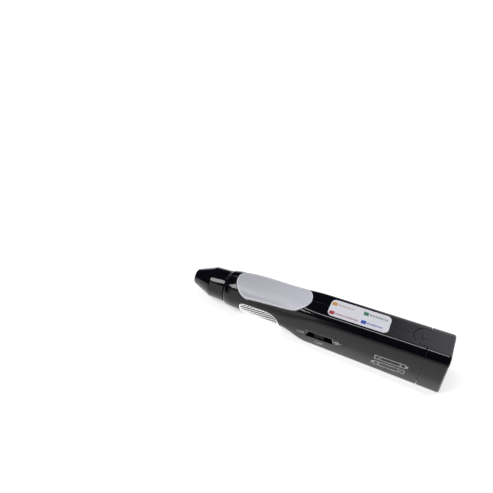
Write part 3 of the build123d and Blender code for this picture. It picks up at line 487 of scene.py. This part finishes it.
def moulded_plastic(name, colour, rough, drift=0.12, edge_rounding=0.0002, shine=0.5, painted_lens_shading=None):
    """Plastic with a faint drift of colour and gloss and a very fine surface grain.

    Where the lens shading gives two factors, the colour turns between them along the lens instead,
    as painted shade at the front and painted light at the rear.
    """
    material, shader = shader_material(name, colour, rough[0])
    shader.inputs["Specular IOR Level"].default_value = shine
    if painted_lens_shading:
        paint_shading_along_lens(material, shader, shade(colour, painted_lens_shading[0]), shade(colour, painted_lens_shading[1]))
    else:
        vary_colour(material, shader, PLASTIC_TINT_SCALE,
                    shade(colour, 1 - drift), shade(colour, 1 + drift))
    vary_roughness(material, shader, PLASTIC_GLOSS_SCALE, rough)
    add_bump(material, shader, PLASTIC_GRAIN_SCALE, PLASTIC_GRAIN_DEPTH, edge_rounding)
    return material


def printed_ink(name, colour, rough=(0.45, 0.55)):
    """Print, which has no edges to round."""
    return moulded_plastic(name, colour, rough, edge_rounding=0)


def drawn_metal(name, colour, rough, edge_rounding=0.0001):
    """Metal with a faint drift of colour and fine drawing lines."""
    material, shader = shader_material(name, colour, rough[0], metallic=1.0)
    vary_colour(material, shader, METAL_TINT_SCALE,
                shade(colour, METAL_TINT[0]), shade(colour, METAL_TINT[1]))
    vary_roughness(material, shader, METAL_GLOSS_SCALE, rough)
    add_bump(material, shader, METAL_GRAIN_SCALE, METAL_GRAIN_DEPTH, edge_rounding)
    return material


def knurled_metal(name, ridge_colour, pit_shade_colour, rough):
    """Bright plating whose colour turns dark towards the bottom of the knurl's pits, as painted
    shade.
    """
    material, shader = shader_material(name, ridge_colour, rough[0], metallic=1.0)
    depth = add_node(material, "ShaderNodeAttribute", "Fac", attribute_name="knurl_depth")
    pit_shade = mapped(material, depth, KNURL_PIT_SHADE_DEPTHS)
    feed(material, shader.inputs["Base Color"],
         colour_between(material, pit_shade, ridge_colour, pit_shade_colour))
    drift = mapped(material, grain(material, METAL_GLOSS_SCALE), (0, 1), rough)
    feed(material, shader.inputs["Roughness"], drift)
    return material


gloss_black = moulded_plastic("gloss_black_plastic", (0.0026, 0.0027, 0.0036), (0.07, 0.11),
                              edge_rounding=0.0004, shine=0.33)
# The lens and its rim are painted darker at the front and paler at the rear, as the light falls
# along them
lens_white = moulded_plastic("lens_satin_white", (0.49, 0.49, 0.54), (0.36, 0.44),
                             painted_lens_shading=(0.88, 1.12))
# The rim's paler colour is a painted highlight on the lens's rounded edge
lens_rim_painted_highlight = moulded_plastic("lens_rim_painted_highlight", (0.70, 0.70, 0.75), (0.3, 0.38),
                                 painted_lens_shading=(0.9, 1.06))
# The second, dark colour is painted shade in the knurl's pits
plated_knurl = knurled_metal("plated_knurl", (0.88, 0.88, 0.87), (0.12, 0.12, 0.12), (0.2, 0.3))
# Near-black matte with almost no shine: painted shade for the switch slot behind the knob, the
# cap's seam and the parting groove
painted_shade_black = moulded_plastic("painted_shade_black", (0.002, 0.002, 0.0025), (0.5, 0.62), shine=0.04)
white_plastic = moulded_plastic("white_light_box", (0.78, 0.78, 0.75), (0.5, 0.6))
black_plastic = moulded_plastic("matte_black_plastic", (0.02, 0.02, 0.022), (0.45, 0.6))
knob_grey = moulded_plastic("knob_dark_grey", (0.014, 0.014, 0.015), (0.4, 0.52), shine=0.06)
label_film = moulded_plastic("label_film", (0.70, 0.70, 0.76), (0.34, 0.44), drift=0.02)
print_white = printed_ink("white_print", (0.62, 0.62, 0.63), (0.5, 0.6))
print_orange = printed_ink("orange_print", (0.50, 0.26, 0.04))
print_red = printed_ink("red_print", (0.36, 0.022, 0.03))
print_green = printed_ink("green_print", (0.02, 0.19, 0.11))
print_blue = printed_ink("blue_print", (0.02, 0.055, 0.36))
text_orange = printed_ink("orange_text_print", (0.44, 0.33, 0.28))
text_red = printed_ink("red_text_print", (0.38, 0.2, 0.21))
text_green = printed_ink("green_text_print", (0.14, 0.22, 0.2))
text_blue = printed_ink("blue_text_print", (0.12, 0.15, 0.38))
copper = drawn_metal("bare_copper", (0.78, 0.40, 0.25), (0.25, 0.38))
ceramic = moulded_plastic("unglazed_ceramic", (0.74, 0.71, 0.65), (0.55, 0.7))
rubber = moulded_plastic("black_nitrile_rubber", (0.015, 0.015, 0.015), (0.6, 0.75))
spring_steel = drawn_metal("plated_spring_steel", (0.62, 0.62, 0.63), (0.25, 0.35))
board_green = moulded_plastic("green_solder_mask", (0.01, 0.12, 0.05), (0.25, 0.35))
led_white = moulded_plastic("lamp_body", (0.8, 0.8, 0.74), (0.3, 0.4))
uv_lamp = moulded_plastic("violet_lamp", (0.32, 0.26, 0.6), (0.08, 0.14))
brass = drawn_metal("contact_brass", (0.78, 0.58, 0.26), (0.25, 0.38))
cell_wrap = moulded_plastic("cell_sleeve", (0.05, 0.12, 0.3), (0.22, 0.32))
lead_red = moulded_plastic("red_lead_cover", (0.42, 0.02, 0.02), (0.4, 0.5))
lead_black = moulded_plastic("black_lead_cover", (0.015, 0.015, 0.015), (0.4, 0.5))
screw_steel = drawn_metal("blackened_screw_steel", (0.3, 0.3, 0.31), (0.3, 0.42))

SLOT_MATERIALS = {
    "gloss_black": gloss_black,
    "lens_white": lens_white,
    "grip_metal": plated_knurl,
    "white_plastic": white_plastic,
    "black_plastic": black_plastic,
    "knob_grey": knob_grey,
    "label_film": label_film,
    "copper": copper,
    "ceramic": ceramic,
    "rubber": rubber,
    "spring_steel": spring_steel,
    "board_green": board_green,
    "led_white": led_white,
    "uv_lamp": uv_lamp,
    "brass": brass,
    "cell_wrap": cell_wrap,
    "lead_red": lead_red,
    "lead_black": lead_black,
    "screw_steel": screw_steel,
}


def dress_cad_nodes():
    """Gives every carried-over node the finish of its own material slot."""
    for part in frame["record"]["subparts"]:
        node = frame["nodes"][part["node"]]
        node.material_slots[0].material = SLOT_MATERIALS[part["material_slot"]]


# Pieces

def make_nose_cap():
    """The pull-off cap: blunt cone, crease, band and a softened rim."""
    bore = CAP_BAND_RADIUS - CAP_WALL
    rim = NOSE_CAP_LENGTH - NOSE_JOINT_GAP
    bm = rounded_profile([
        (0, 0, 0),
        (0, CAP_TIP_RADIUS, CAP_TIP_ROUNDING),
        (CAP_CONE_LENGTH, CAP_BAND_RADIUS, CAP_CREASE_ROUNDING),
        (rim, RIM_RADIUS, CAP_RIM_ROUNDING),
        (rim, bore, CAP_RIM_ROUNDING),
        (CAP_CONE_LENGTH + CAP_WALL, bore, 0),
        (CAP_TIP_WALL, CAP_TIP_RADIUS - CAP_WALL, 0),
        (CAP_TIP_WALL, 0, 0),
    ])
    finish_piece("nose_cap_skin", turn_profile(bm), [gloss_black], "nose_cap",
                 ["nose_cap"])


def wrap_point(x, along, depth):
    """A point and its outward direction on the wrapped underside of the front.

    along is the way round the section from the middle of the underside.
    """
    side = half_width(x) - depth
    low = underside(x) + depth
    radius = bottom_edge(x) - depth
    flat = side - radius
    arc = radius * QUARTER_TURN
    sign = 1 if along >= 0 else -1
    way = abs(along)
    if way <= flat:
        return Vector((x, sign * way, low)), Vector((0, 0, -1))
    if way <= flat + arc:
        turn = (way - flat) / radius
        out = Vector((0, sign * math.sin(turn), -math.cos(turn)))
        return Vector((x, sign * flat, low + radius)) + out * radius, out
    rise = low + radius + way - flat - arc
    return Vector((x, sign * side, rise)), Vector((0, sign, 0))


def grip_edge_way(x):
    """How far round the section the grip plate reaches at a place along it."""
    front = x - GRIP_START_X
    rear = GRIP_START_X + GRIP_LENGTH - x
    top = GRIP_TOP_Z
    for distance, corner in ((front, GRIP_FRONT_CORNER), (rear, GRIP_REAR_CORNER)):
        if distance < corner:
            inset = corner - distance
            top = GRIP_TOP_Z - corner + math.sqrt(max(corner * corner - inset * inset, 0))
    side = half_width(x) - GRIP_DEPTH
    radius = bottom_edge(x) - GRIP_DEPTH
    centre = underside(x) + GRIP_DEPTH + radius
    if top >= centre:
        return side - radius + radius * QUARTER_TURN + top - centre
    return side - radius + radius * math.acos(min((centre - top) / radius, 1))


def knurl_ridge(x, along, edge_distance):
    """How near the top of a crossed diagonal ridge a point is, from 0 in a pit to 1."""
    def ridge(value):
        off = abs(value / KNURL_PITCH - round(value / KNURL_PITCH)) * KNURL_PITCH
        return min(max(1 - (off - KNURL_RIDGE) / KNURL_SLOPE, 0), 1)
    border = min(max(2 - edge_distance / KNURL_BORDER, 0), 1)
    return max(ridge(x + along), ridge(x - along), border)


def make_grip_plate():
    """The bright plate with its crossed knurl, wrapped round the underside."""
    bm = bmesh.new()
    depth_layer = bm.verts.layers.float.new("knurl_depth")
    bmesh.ops.create_grid(bm, x_segments=GRIP_COLUMNS, y_segments=GRIP_ROWS, size=0.5)
    for vert in bm.verts:
        share = vert.co.x + 0.5
        x = GRIP_START_X + GRIP_LENGTH * share
        reach = grip_edge_way(x)
        along = 2 * vert.co.y * reach
        edge = min(x - GRIP_START_X, GRIP_START_X + GRIP_LENGTH - x, reach - abs(along))
        sunk = 1 - knurl_ridge(x, along, edge)
        point, out = wrap_point(x, along, GRIP_DEPTH)
        vert.co = point - out * KNURL_DEPTH * sunk
        vert[depth_layer] = sunk
    piece = finish_piece("grip_plate_knurled", bm, [plated_knurl], "housing",
                         ["grip_plate"], smooth_angle=30)
    thickness = piece.modifiers.new("plate_thickness", "SOLIDIFY")
    thickness.thickness = (GRIP_THICKNESS - KNURL_DEPTH) * MM
    thickness.offset = -1


def make_display_lens():
    """The crowned lens, narrower behind, with its rounded rim in a paler colour that paints the
    rim's highlight.
    """
    front_x = LENS_START_X + LENS_FRONT_RADIUS
    rear_x = LENS_START_X + LENS_LENGTH - LENS_REAR_RADIUS
    touch = math.acos((LENS_FRONT_RADIUS - LENS_REAR_RADIUS) / (rear_x - front_x))
    bm = bmesh.new()
    bmesh.ops.create_circle(bm, cap_ends=True, segments=LENS_ROUND_SEGMENTS, radius=1)
    for vert in bm.verts:
        behind = abs(math.atan2(vert.co.y, vert.co.x)) < touch
        radius = LENS_REAR_RADIUS if behind else LENS_FRONT_RADIUS
        vert.co.x = (rear_x if behind else front_x) + radius * vert.co.x
        vert.co.y *= radius
    longest = [e for e in bm.edges if e.calc_length() > LENS_FRONT_RADIUS]
    bmesh.ops.subdivide_edges(bm, edges=longest, cuts=LENS_SIDE_CUTS)
    inner = bm.faces[:]
    for face in inset(bm, inner, LENS_RIM_WIDTH):
        face.material_index = 1
    for width in LENS_RINGS:
        inset(bm, inner, width)
    for vert in bm.verts:
        vert.co.z = top_height(vert.co.x, vert.co.y) + LENS_PROUD
    rim = [e for e in bm.edges if e.is_boundary]
    thicken(bm, bm.faces[:], (0, 0, -LENS_THICKNESS))
    round_off(bm, [e for e in rim if e.is_valid], LENS_RIM_ROUNDING, "EDGES",
              LENS_RIM_SEGMENTS, material=1)
    finish_piece("display_lens_crowned", bm, [lens_white, lens_rim_painted_highlight], "housing",
                 ["display_lens"])


def make_switch_knob():
    """The ribbed knob on its shield, with its stem; the shield is near-black matte, painted shade
    in the slot round the knob.
    """
    side = -half_width(SWITCH_X)
    shield_y = side + WALL + SEAM_GAP
    shield_end = shield_y + SHIELD_THICKNESS
    face = side + KNOB_BELOW_SIDE
    low, high = SWITCH_Z - KNOB_HEIGHT / 2, SWITCH_Z + KNOB_HEIGHT / 2
    bm = bmesh.new()
    softened_block(bm, (SWITCH_X - SHIELD_LENGTH / 2, shield_y, SWITCH_Z - SHIELD_HEIGHT / 2),
                   (SWITCH_X + SHIELD_LENGTH / 2, shield_end, SWITCH_Z + SHIELD_HEIGHT / 2))
    # The shield takes the near-black painted shade of the slot
    for face_of_shield in bm.faces:
        face_of_shield.material_index = 1
    softened_block(bm, (SWITCH_X - KNOB_LENGTH / 2, face, low),
                   (SWITCH_X + KNOB_LENGTH / 2, shield_y + SMALL_EDGE, high))
    length, depth, height = STEM_SIZE
    softened_block(bm, (SWITCH_X - length / 2, shield_end - SMALL_EDGE, SWITCH_Z - height / 2),
                   (SWITCH_X + length / 2, shield_end + depth, SWITCH_Z + height / 2))
    step = KNOB_LENGTH / KNOB_RIBS
    for index in range(KNOB_RIBS):
        x = SWITCH_X - KNOB_LENGTH / 2 + step * (index + 1 / 2)
        softened_block(bm, (x - KNOB_RIB_WIDTH / 2, face - KNOB_RIB_HEIGHT, low),
                       (x + KNOB_RIB_WIDTH / 2, face + SMALL_EDGE, high))
    finish_piece("switch_knob_ribbed", bm, [knob_grey, painted_shade_black], "switch_knob",
                 ["switch_knob"])


def flat_plate(bm, middle, size, corner, thickness):
    """Adds a thin plate with rounded corners that lies on the xy plane."""
    edges = plain_box(bm, (*middle, thickness / 2), (*size, thickness))
    upright = [e for e in edges
               if abs((e.verts[0].co - e.verts[1].co).z) > thickness / 2]
    round_off(bm, upright, corner, "EDGES")


def flat_ring(bm, middle, size, corner, line, thickness):
    """Adds a thin outline with rounded corners that lies on the xy plane."""
    made = bmesh.ops.create_grid(bm, x_segments=1, y_segments=1, size=0.5)
    place = Matrix.Translation((*middle, 0)) @ Matrix.Diagonal((*size, 1, 1))
    bmesh.ops.transform(bm, matrix=place, verts=made["verts"])
    round_off(bm, made["verts"], corner, "VERTICES")
    flat = [face for face in bm.faces if abs(face.calc_center_median().z) < thickness / 4]
    middle_face = [f for f in flat if not any(len(e.link_faces) > 1 for e in f.edges)]
    inset(bm, middle_face, line)
    outline = [f for face in middle_face for e in face.edges for f in e.link_faces
               if f not in middle_face]
    bmesh.ops.delete(bm, geom=middle_face, context="FACES")
    thicken(bm, outline, (0, 0, thickness))


def printed_word(bm, text, middle, size, thickness):
    """Adds lettering as thin solids that lie on the xy plane, stretched to a size."""
    curve = bpy.data.curves.new("lettering", "FONT")
    curve.body = text
    curve.resolution_u = LETTER_STEPS
    curve.extrude = LETTER_DEPTH
    verts = curve_form(bm, curve)
    low = Vector([min(v.co[axis] for v in verts) for axis in range(3)])
    high = Vector([max(v.co[axis] for v in verts) for axis in range(3)])
    span = high - low
    place = (
        Matrix.Translation((*middle, thickness / 2))
        @ Matrix.Diagonal((size[0] / span.x, size[1] / span.y, thickness / span.z, 1))
        @ Matrix.Translation(-(low + high) / 2)
    )
    bmesh.ops.transform(bm, matrix=place, verts=verts)


def lay_on_top(bm, base):
    """Lifts a flat print onto the body's top."""
    for vert in bm.verts:
        vert.co.z += base


def lay_on_side(bm):
    """Stands a flat print up and wraps it onto the switch side."""
    for vert in bm.verts:
        x, up, lift = vert.co
        vert.co = (x, -half_width(x) - lift, up)


def make_colour_label():
    """The colour guide label."""
    bm = bmesh.new()
    flat_plate(bm, (LABEL_START_X + LABEL_LENGTH / 2, 0), (LABEL_LENGTH, LABEL_WIDTH), LABEL_CORNER,
               LABEL_THICKNESS - PRINT_THICKNESS)
    lay_on_top(bm, FRONT_RADIUS)
    finish_piece("colour_label_film", bm, [label_film], "housing", ["colour_label"])


# Each row of the guide: its patch's middle, the inks of its patch and dashes, where the
# dashes start and the lengths of the dashes.
GUIDE_ROWS = (
    ("orange", (91.4, 3.0), print_orange, text_orange, 93.5,
     (0.9, 0.6, 0.7, 0.8, 0.6, 0.9, 0.5, 0.7, 0.6)),
    ("red", (91.6, -3.9), print_red, text_red, 93.8,
     (0.8, 0.7, 0.7, 0.8, 0.5, 0.4, 0.7, 0.8, 0.9, 0.7, 0.8, 0.7)),
    ("green", (110.2, 2.9), print_green, text_green, 112.4,
     (1.1, 0.7, 0.4, 0.6, 0.6, 0.7, 0.7, 0.4, 0.5, 0.7)),
    ("blue", (110.3, -3.5), print_blue, text_blue, 112.3, (0.9, 0.4, 0.7, 1.0, 0.7, 0.7, 0.8, 0.5)),
)


def make_guide_print():
    """The four colour patches, each with its row of dashes."""
    base = FRONT_RADIUS + LABEL_THICKNESS - PRINT_THICKNESS
    for name, (x, y), ink, text_ink, left, dashes in GUIDE_ROWS:
        bm = bmesh.new()
        flat_plate(bm, (x, y), PATCH_SIZE, PATCH_CORNER, PRINT_THICKNESS)
        patch_faces = len(bm.faces)
        for length in dashes:
            flat_plate(bm, (left + length / 2, y), (length, DASH_HEIGHT), DASH_CORNER,
                       PRINT_THICKNESS)
            left += length + DASH_GAP
        bm.faces.ensure_lookup_table()
        for face in bm.faces[patch_faces:]:
            face.material_index = 1
        lay_on_top(bm, base)
        finish_piece("guide_print_" + name, bm, [ink, text_ink], "housing")


def make_switch_marks():
    """ON and OFF and a plain lamp sign beside the slide switch."""
    bm = bmesh.new()
    sign = (LAMP_SIGN_X, SWITCH_Z)
    flat_ring(bm, sign, LAMP_RING_SIZE, LAMP_RING_CORNER, LAMP_RING_LINE, PRINT_THICKNESS)
    for x in (LAMP_SIGN_X - LAMP_WIRE_REACH, LAMP_SIGN_X + LAMP_WIRE_REACH):
        flat_plate(bm, (x, SWITCH_Z), LAMP_WIRE_SIZE, LAMP_WIRE_CORNER, PRINT_THICKNESS)
    printed_word(bm, "ON", *ON_MARK, PRINT_THICKNESS)
    printed_word(bm, "OFF", *OFF_MARK, PRINT_THICKNESS)
    printed_word(bm, "\u00d7", sign, LAMP_CROSS_SIZE, PRINT_THICKNESS)
    lay_on_side(bm)
    finish_piece("switch_marks", bm, [print_white], "housing")


def make_cell_marks():
    """Two plain battery outlines with plus and minus signs, as the cells lie inside."""
    bm = bmesh.new()
    for z, way in CELL_MARK_ROWS:
        flat_ring(bm, (CELL_MARK_X, z), CELL_MARK_SIZE, CELL_MARK_CORNER, CELL_MARK_LINE,
                  PRINT_THICKNESS)
        flat_plate(bm, (CELL_MARK_X + way * CELL_TIP_REACH, z), CELL_TIP_SIZE,
                   CELL_TIP_CORNER, PRINT_THICKNESS)
        printed_word(bm, "+", (CELL_MARK_X + way * CELL_SIGN_REACH, z), PLUS_SIZE,
                     PRINT_THICKNESS)
        printed_word(bm, "-", (CELL_MARK_X - way * CELL_SIGN_REACH, z), MINUS_SIZE,
                     PRINT_THICKNESS)
    lay_on_side(bm)
    finish_piece("cell_marks", bm, [print_white], "housing")


def squash_with_probe(piece):
    """Gives a piece its own copy of its mesh."""
    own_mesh(piece)


def make_probe_spring():
    """The coil spring behind the probe's collar."""
    bm = bmesh.new()
    bmesh.ops.create_circle(bm, segments=WIRE_SEGMENTS, radius=SPRING_WIRE_RADIUS)
    bmesh.ops.translate(bm, verts=bm.verts[:],
                        vec=(SPRING_START_X + SPRING_WIRE_RADIUS, SPRING_RADIUS, 0))
    steps = SPRING_TURNS * SPRING_TURN_STEPS
    climb = (SPRING_END_X - SPRING_START_X - 2 * SPRING_WIRE_RADIUS) / steps
    bmesh.ops.spin(bm, geom=bm.edges[:], cent=(0, 0, 0), axis=(1, 0, 0), dvec=(climb, 0, 0),
                   angle=FULL_TURN * SPRING_TURNS, steps=steps, use_merge=False,
                   use_duplicate=False)
    ends = [edge for edge in bm.edges if edge.is_boundary]
    bmesh.ops.holes_fill(bm, edges=ends, sides=WIRE_SEGMENTS)
    piece = finish_piece("probe_spring_coil", bm, [spring_steel], "housing",
                         ["probe_spring"])
    squash_with_probe(piece)


def make_probe_lead():
    """The lead from the probe's needle to the circuit board."""
    curve = bpy.data.curves.new("lead_path", "CURVE")
    curve.dimensions = "3D"
    curve.bevel_depth = PROBE_LEAD_RADIUS
    curve.bevel_resolution = LEAD_ROUND_STEPS
    curve.use_fill_caps = True
    spline = curve.splines.new("NURBS")
    spline.points.add(len(PROBE_LEAD_PATH) - 1)
    for point, place in zip(spline.points, PROBE_LEAD_PATH):
        point.co = (*place, 1)
    spline.order_u = LEAD_CURVE_ORDER
    spline.use_endpoint_u = True
    bm = bmesh.new()
    curve_form(bm, curve)
    piece = finish_piece("probe_lead_wire", bm, [lead_red], "housing", ["probe_lead"])
    squash_with_probe(piece)


def make_seam_shade_lip():
    """A near-black lip on the housing's rear end that closes the view through the cap's seam:
    painted shade in the seam.
    """
    side = half_width(REAR_SEAM_X) - JOINT_LIP_INSET
    low = underside(REAR_SEAM_X) + JOINT_LIP_INSET
    high = FRONT_RADIUS - JOINT_LIP_INSET
    bm = bmesh.new()
    bmesh.ops.create_grid(bm, x_segments=1, y_segments=1, size=0.5)
    place = (
        Matrix.Translation((REAR_SEAM_X, 0, (low + high) / 2))
        @ Matrix.Diagonal((1, 2 * side, high - low, 1))
        @ Matrix.Rotation(QUARTER_TURN, 4, "Y")
    )
    bmesh.ops.transform(bm, matrix=place, verts=bm.verts[:])
    for above, radius in ((True, TOP_EDGE_RADIUS), (False, BOTTOM_EDGE_RADIUS)):
        corners = [v for v in bm.verts if (v.co.z > 0) == above]
        round_off(bm, corners, radius - JOINT_LIP_INSET, "VERTICES")
    middle = bm.faces[:]
    inset(bm, middle, WALL - 2 * JOINT_LIP_INSET)
    bmesh.ops.delete(bm, geom=middle, context="FACES")
    for y in (-TONGUE_RADIUS - SMALL_EDGE, TONGUE_RADIUS + SMALL_EDGE):
        bmesh.ops.bisect_plane(bm, geom=bm.verts[:] + bm.edges[:] + bm.faces[:], plane_co=(0, y, 0),
                               plane_no=(0, 1, 0))
    cut = [f for f in bm.faces if f.calc_center_median().z > 0
           and abs(f.calc_center_median().y) < TONGUE_RADIUS]
    bmesh.ops.delete(bm, geom=cut, context="FACES")
    thicken(bm, bm.faces[:], (JOINT_LIP_LENGTH, 0, 0))
    finish_piece("cap_seam_painted_shade", bm, [painted_shade_black], "housing")


def make_parting_groove_shade():
    """A near-black strip at the bottom of the groove where the two shells meet on top: painted
    shade in the groove.
    """
    bm = bmesh.new()
    lens_end = LENS_START_X + LENS_LENGTH
    label_end = LABEL_START_X + LABEL_LENGTH
    for start, end in ((lens_end, LABEL_START_X), (label_end, TONGUE_FRONT_X)):
        start += NOSE_JOINT_GAP
        end -= NOSE_JOINT_GAP
        flat_plate(bm, ((start + end) / 2, 0), (end - start, GROOVE_WIDTH - 2 * PRINT_THICKNESS),
                   PRINT_THICKNESS, PRINT_THICKNESS)
    lay_on_top(bm, FRONT_RADIUS - GROOVE_DEPTH + PRINT_THICKNESS)
    finish_piece("parting_groove_painted_shade", bm, [painted_shade_black], "housing")


def make_tongue_arrow():
    """The raised arrow on the battery cap's tongue that shows which way it slides."""
    bm = bmesh.new()
    bmesh.ops.create_cone(bm, cap_ends=True, segments=3, radius1=ARROW_RADIUS,
                          radius2=ARROW_RADIUS - 2 * ARROW_HEIGHT, depth=ARROW_HEIGHT)
    bmesh.ops.rotate(bm, verts=bm.verts[:], cent=(0, 0, 0),
                     matrix=Matrix.Rotation(-QUARTER_TURN, 3, "Z"))
    bmesh.ops.translate(bm, verts=bm.verts[:], vec=(ARROW_X, 0, FRONT_RADIUS + ARROW_HEIGHT / 2))
    finish_piece("tongue_arrow", bm, [gloss_black], "battery_cap")


# Stage, light and camera, in metres and watts

CAMERA_PLACE = Vector((0.03956, -0.19786, 0.26885))
CAMERA_FORWARD = Vector((-0.28069, 0.64745, -0.70854)).normalized()
CAMERA_ROLL = math.radians(2.01)
CAMERA_FIELD = math.radians(50.04)
CAMERA_CLIP = (0.01, 50)

# The floor's own glow, as the camera sees it: from near the pen to far off
FLOOR_SIZE = 6.0
FLOOR_COLOUR = (0.86, 0.86, 0.87)
FLOOR_ROUGHNESS = 0.9
SEEN_SPAN = (0.25, 0.9)
SEEN_GLOW = (0.55, 0.82)

# The glow that only glossy surfaces see, each over a span of y or x: on the switch side,
# round the nose, and at the foot of the switch side behind the grip plate
SIDE_SPAN_Y = (-0.038, -0.012)
SIDE_GLOW = 0.6
NOSE_SPAN_X = (-0.02, -0.07)
NOSE_GLOW = 0.7
FOOT_SPAN_Y = (-0.02, -0.012)
FOOT_SPAN_X = (-0.036, -0.012)
FOOT_GLOW = 1.6

# Where the floor ends in the dark for glossy surfaces
DARK_SPAN_Y = (-0.08, -0.2)
DARK_SPAN_X = (-0.12, -0.04)
DARK_COLOUR = (0.01, 0.01, 0.02, 1)

# What glossy surfaces see above the floor: each wall has its colour and, for each axis of
# the direction, where it starts to show and where it shows fully.
ROOM_DARK = (0.015, 0.017, 0.05, 1)
ROOM_WALLS = (
    ((2.1, 2.12, 2.25, 1), (("Y", 0.3, 0.5), ("X", -0.14, 0.03))),
    ((1.4, 1.4, 1.42, 1),
     (("X", -0.13, -0.24), ("X", -0.62, -0.5), ("Y", 0.15, 0.0), ("Z", 0.6, 0.5))),
)
EVEN_LIGHT = (0.25, 0.25, 0.26, 1)
WHITE = (1, 1, 1, 1)

# Each lamp's name, place, target, size and power
LAMPS = (
    ("overhead_strip", (-0.01, 0.09, 0.6), (-0.01, 0, 0.03), (0.42, 0.08), 1.3),
    ("front_window", (-0.38, -0.285, 0.6), (-0.05, 0, 0.01), (0.2, 0.3), 2.2),
)


def make_camera():
    """The camera at the picture's own place, turn and field of view."""
    data = bpy.data.cameras.new("camera")
    data.sensor_fit = "HORIZONTAL"
    data.angle = CAMERA_FIELD
    data.clip_start, data.clip_end = CAMERA_CLIP
    camera = bpy.data.objects.new("camera", data)
    right = CAMERA_FORWARD.cross(Vector((0, 0, 1))).normalized()
    up = right.cross(CAMERA_FORWARD)
    rolled_right = math.cos(CAMERA_ROLL) * right + math.sin(CAMERA_ROLL) * up
    rolled_up = -math.sin(CAMERA_ROLL) * right + math.cos(CAMERA_ROLL) * up
    turn = Matrix((rolled_right, rolled_up, -CAMERA_FORWARD)).transposed()
    camera.matrix_world = Matrix.Translation(CAMERA_PLACE) @ turn.to_4x4()
    bpy.context.scene.collection.objects.link(camera)
    bpy.context.scene.camera = camera
    bpy.context.scene.view_settings.view_transform = "Standard"


def light_path(owner, ray):
    """Whether a surface is seen by one kind of ray."""
    return add_node(owner, "ShaderNodeLightPath", ray)


def floor_glow(material, place):
    """How strongly the floor glows, for the camera and for glossy surfaces."""
    x, y = axis_value(material, place, "X"), axis_value(material, place, "Y")
    away = add_node(material, "ShaderNodeVectorMath", "Value", {0: place}, operation="LENGTH")
    seen = calculated(material, "MULTIPLY", light_path(material, "Is Camera Ray"),
                      mapped(material, away, SEEN_SPAN, SEEN_GLOW))
    side = mapped(material, y, SIDE_SPAN_Y, (0, SIDE_GLOW))
    nose = mapped(material, x, NOSE_SPAN_X, (0, NOSE_GLOW))
    foot = mapped(material, y, FOOT_SPAN_Y, (0, FOOT_GLOW))
    side = calculated(material, "MULTIPLY_ADD", foot, mapped(material, x, FOOT_SPAN_X), side)
    around = calculated(material, "ADD", side, nose)
    return calculated(material, "MULTIPLY_ADD", light_path(material, "Is Glossy Ray"),
                      around, seen)


def floor_darkness(material, place):
    """How far the floor has ended in the dark, for glossy surfaces only."""
    near = mapped(material, axis_value(material, place, "Y"), DARK_SPAN_Y)
    rearward = mapped(material, axis_value(material, place, "X"), DARK_SPAN_X)
    corner = calculated(material, "MULTIPLY", near, rearward)
    return calculated(material, "MULTIPLY", corner, light_path(material, "Is Glossy Ray"))


def make_floor():
    """A plain sheet that is white to the camera and keeps the pen's shadow.

    Glossy surfaces see it pale close to the pen and dark further off towards the camera.
    """
    bm = bmesh.new()
    bmesh.ops.create_grid(bm, x_segments=1, y_segments=1, size=FLOOR_SIZE / 2)
    mesh = bpy.data.meshes.new("floor")
    bm.to_mesh(mesh)
    bm.free()
    floor = bpy.data.objects.new("floor", mesh)
    bpy.context.scene.collection.objects.link(floor)
    material, shader = shader_material("pale_floor", FLOOR_COLOUR, FLOOR_ROUGHNESS)
    shader.inputs["Specular IOR Level"].default_value = 0.0
    place = own_place(material)
    glow = add_node(material, "ShaderNodeEmission", "Emission",
                    {"Strength": floor_glow(material, place)})
    lit = add_node(material, "ShaderNodeAddShader", "Shader",
                   {0: shader.outputs["BSDF"], 1: glow})
    dark = add_node(material, "ShaderNodeEmission", "Emission", {"Color": DARK_COLOUR})
    both = add_node(material, "ShaderNodeMixShader", "Shader",
                    {0: floor_darkness(material, place), 1: lit, 2: dark})
    feed(material, material.node_tree.nodes["Material Output"].inputs["Surface"], both)
    mesh.materials.append(material)


def mixed_colour(owner, share, first, second):
    """A mix of two colours."""
    return add_node(owner, "ShaderNodeMix", "Result",
                    {"Factor": share, "A": first, "B": second}, data_type="RGBA")


def make_world():
    """Even light from all round, which glossy surfaces see as a dark room with two pale walls."""
    world = bpy.data.worlds.new("studio")
    world.use_nodes = True
    bpy.context.scene.world = world
    direction = add_node(world, "ShaderNodeTexCoord", "Generated")
    room = ROOM_DARK
    for colour, limits in ROOM_WALLS:
        wall = 1
        for axis, start, full in limits:
            share = mapped(world, axis_value(world, direction, axis), (start, full))
            wall = calculated(world, "MULTIPLY", wall, share)
        room = mixed_colour(world, wall, room, colour)
    lit = mixed_colour(world, light_path(world, "Is Glossy Ray"), EVEN_LIGHT, room)
    seen = mixed_colour(world, light_path(world, "Is Camera Ray"), lit, WHITE)
    feed(world, world.node_tree.nodes["Background"].inputs["Color"], seen)


def soft_box(name, place, target, size, power):
    """A rectangular lamp that faces a target."""
    data = bpy.data.lights.new(name, "AREA")
    data.shape = "RECTANGLE"
    data.size, data.size_y = size
    data.energy = power
    lamp = bpy.data.objects.new(name, data)
    lamp.location = place
    lamp.rotation_mode = "QUATERNION"
    lamp.rotation_quaternion = (Vector(target) - Vector(place)).to_track_quat("-Z", "Y")
    bpy.context.scene.collection.objects.link(lamp)


dress_cad_nodes()
make_nose_cap()
make_grip_plate()
make_display_lens()
make_switch_knob()
make_colour_label()
make_guide_print()
make_switch_marks()
make_cell_marks()
make_probe_spring()
make_probe_lead()
make_seam_shade_lip()
make_parting_groove_shade()
make_tongue_arrow()
make_floor()
make_world()
make_camera()
for lamp in LAMPS:
    soft_box(*lamp)
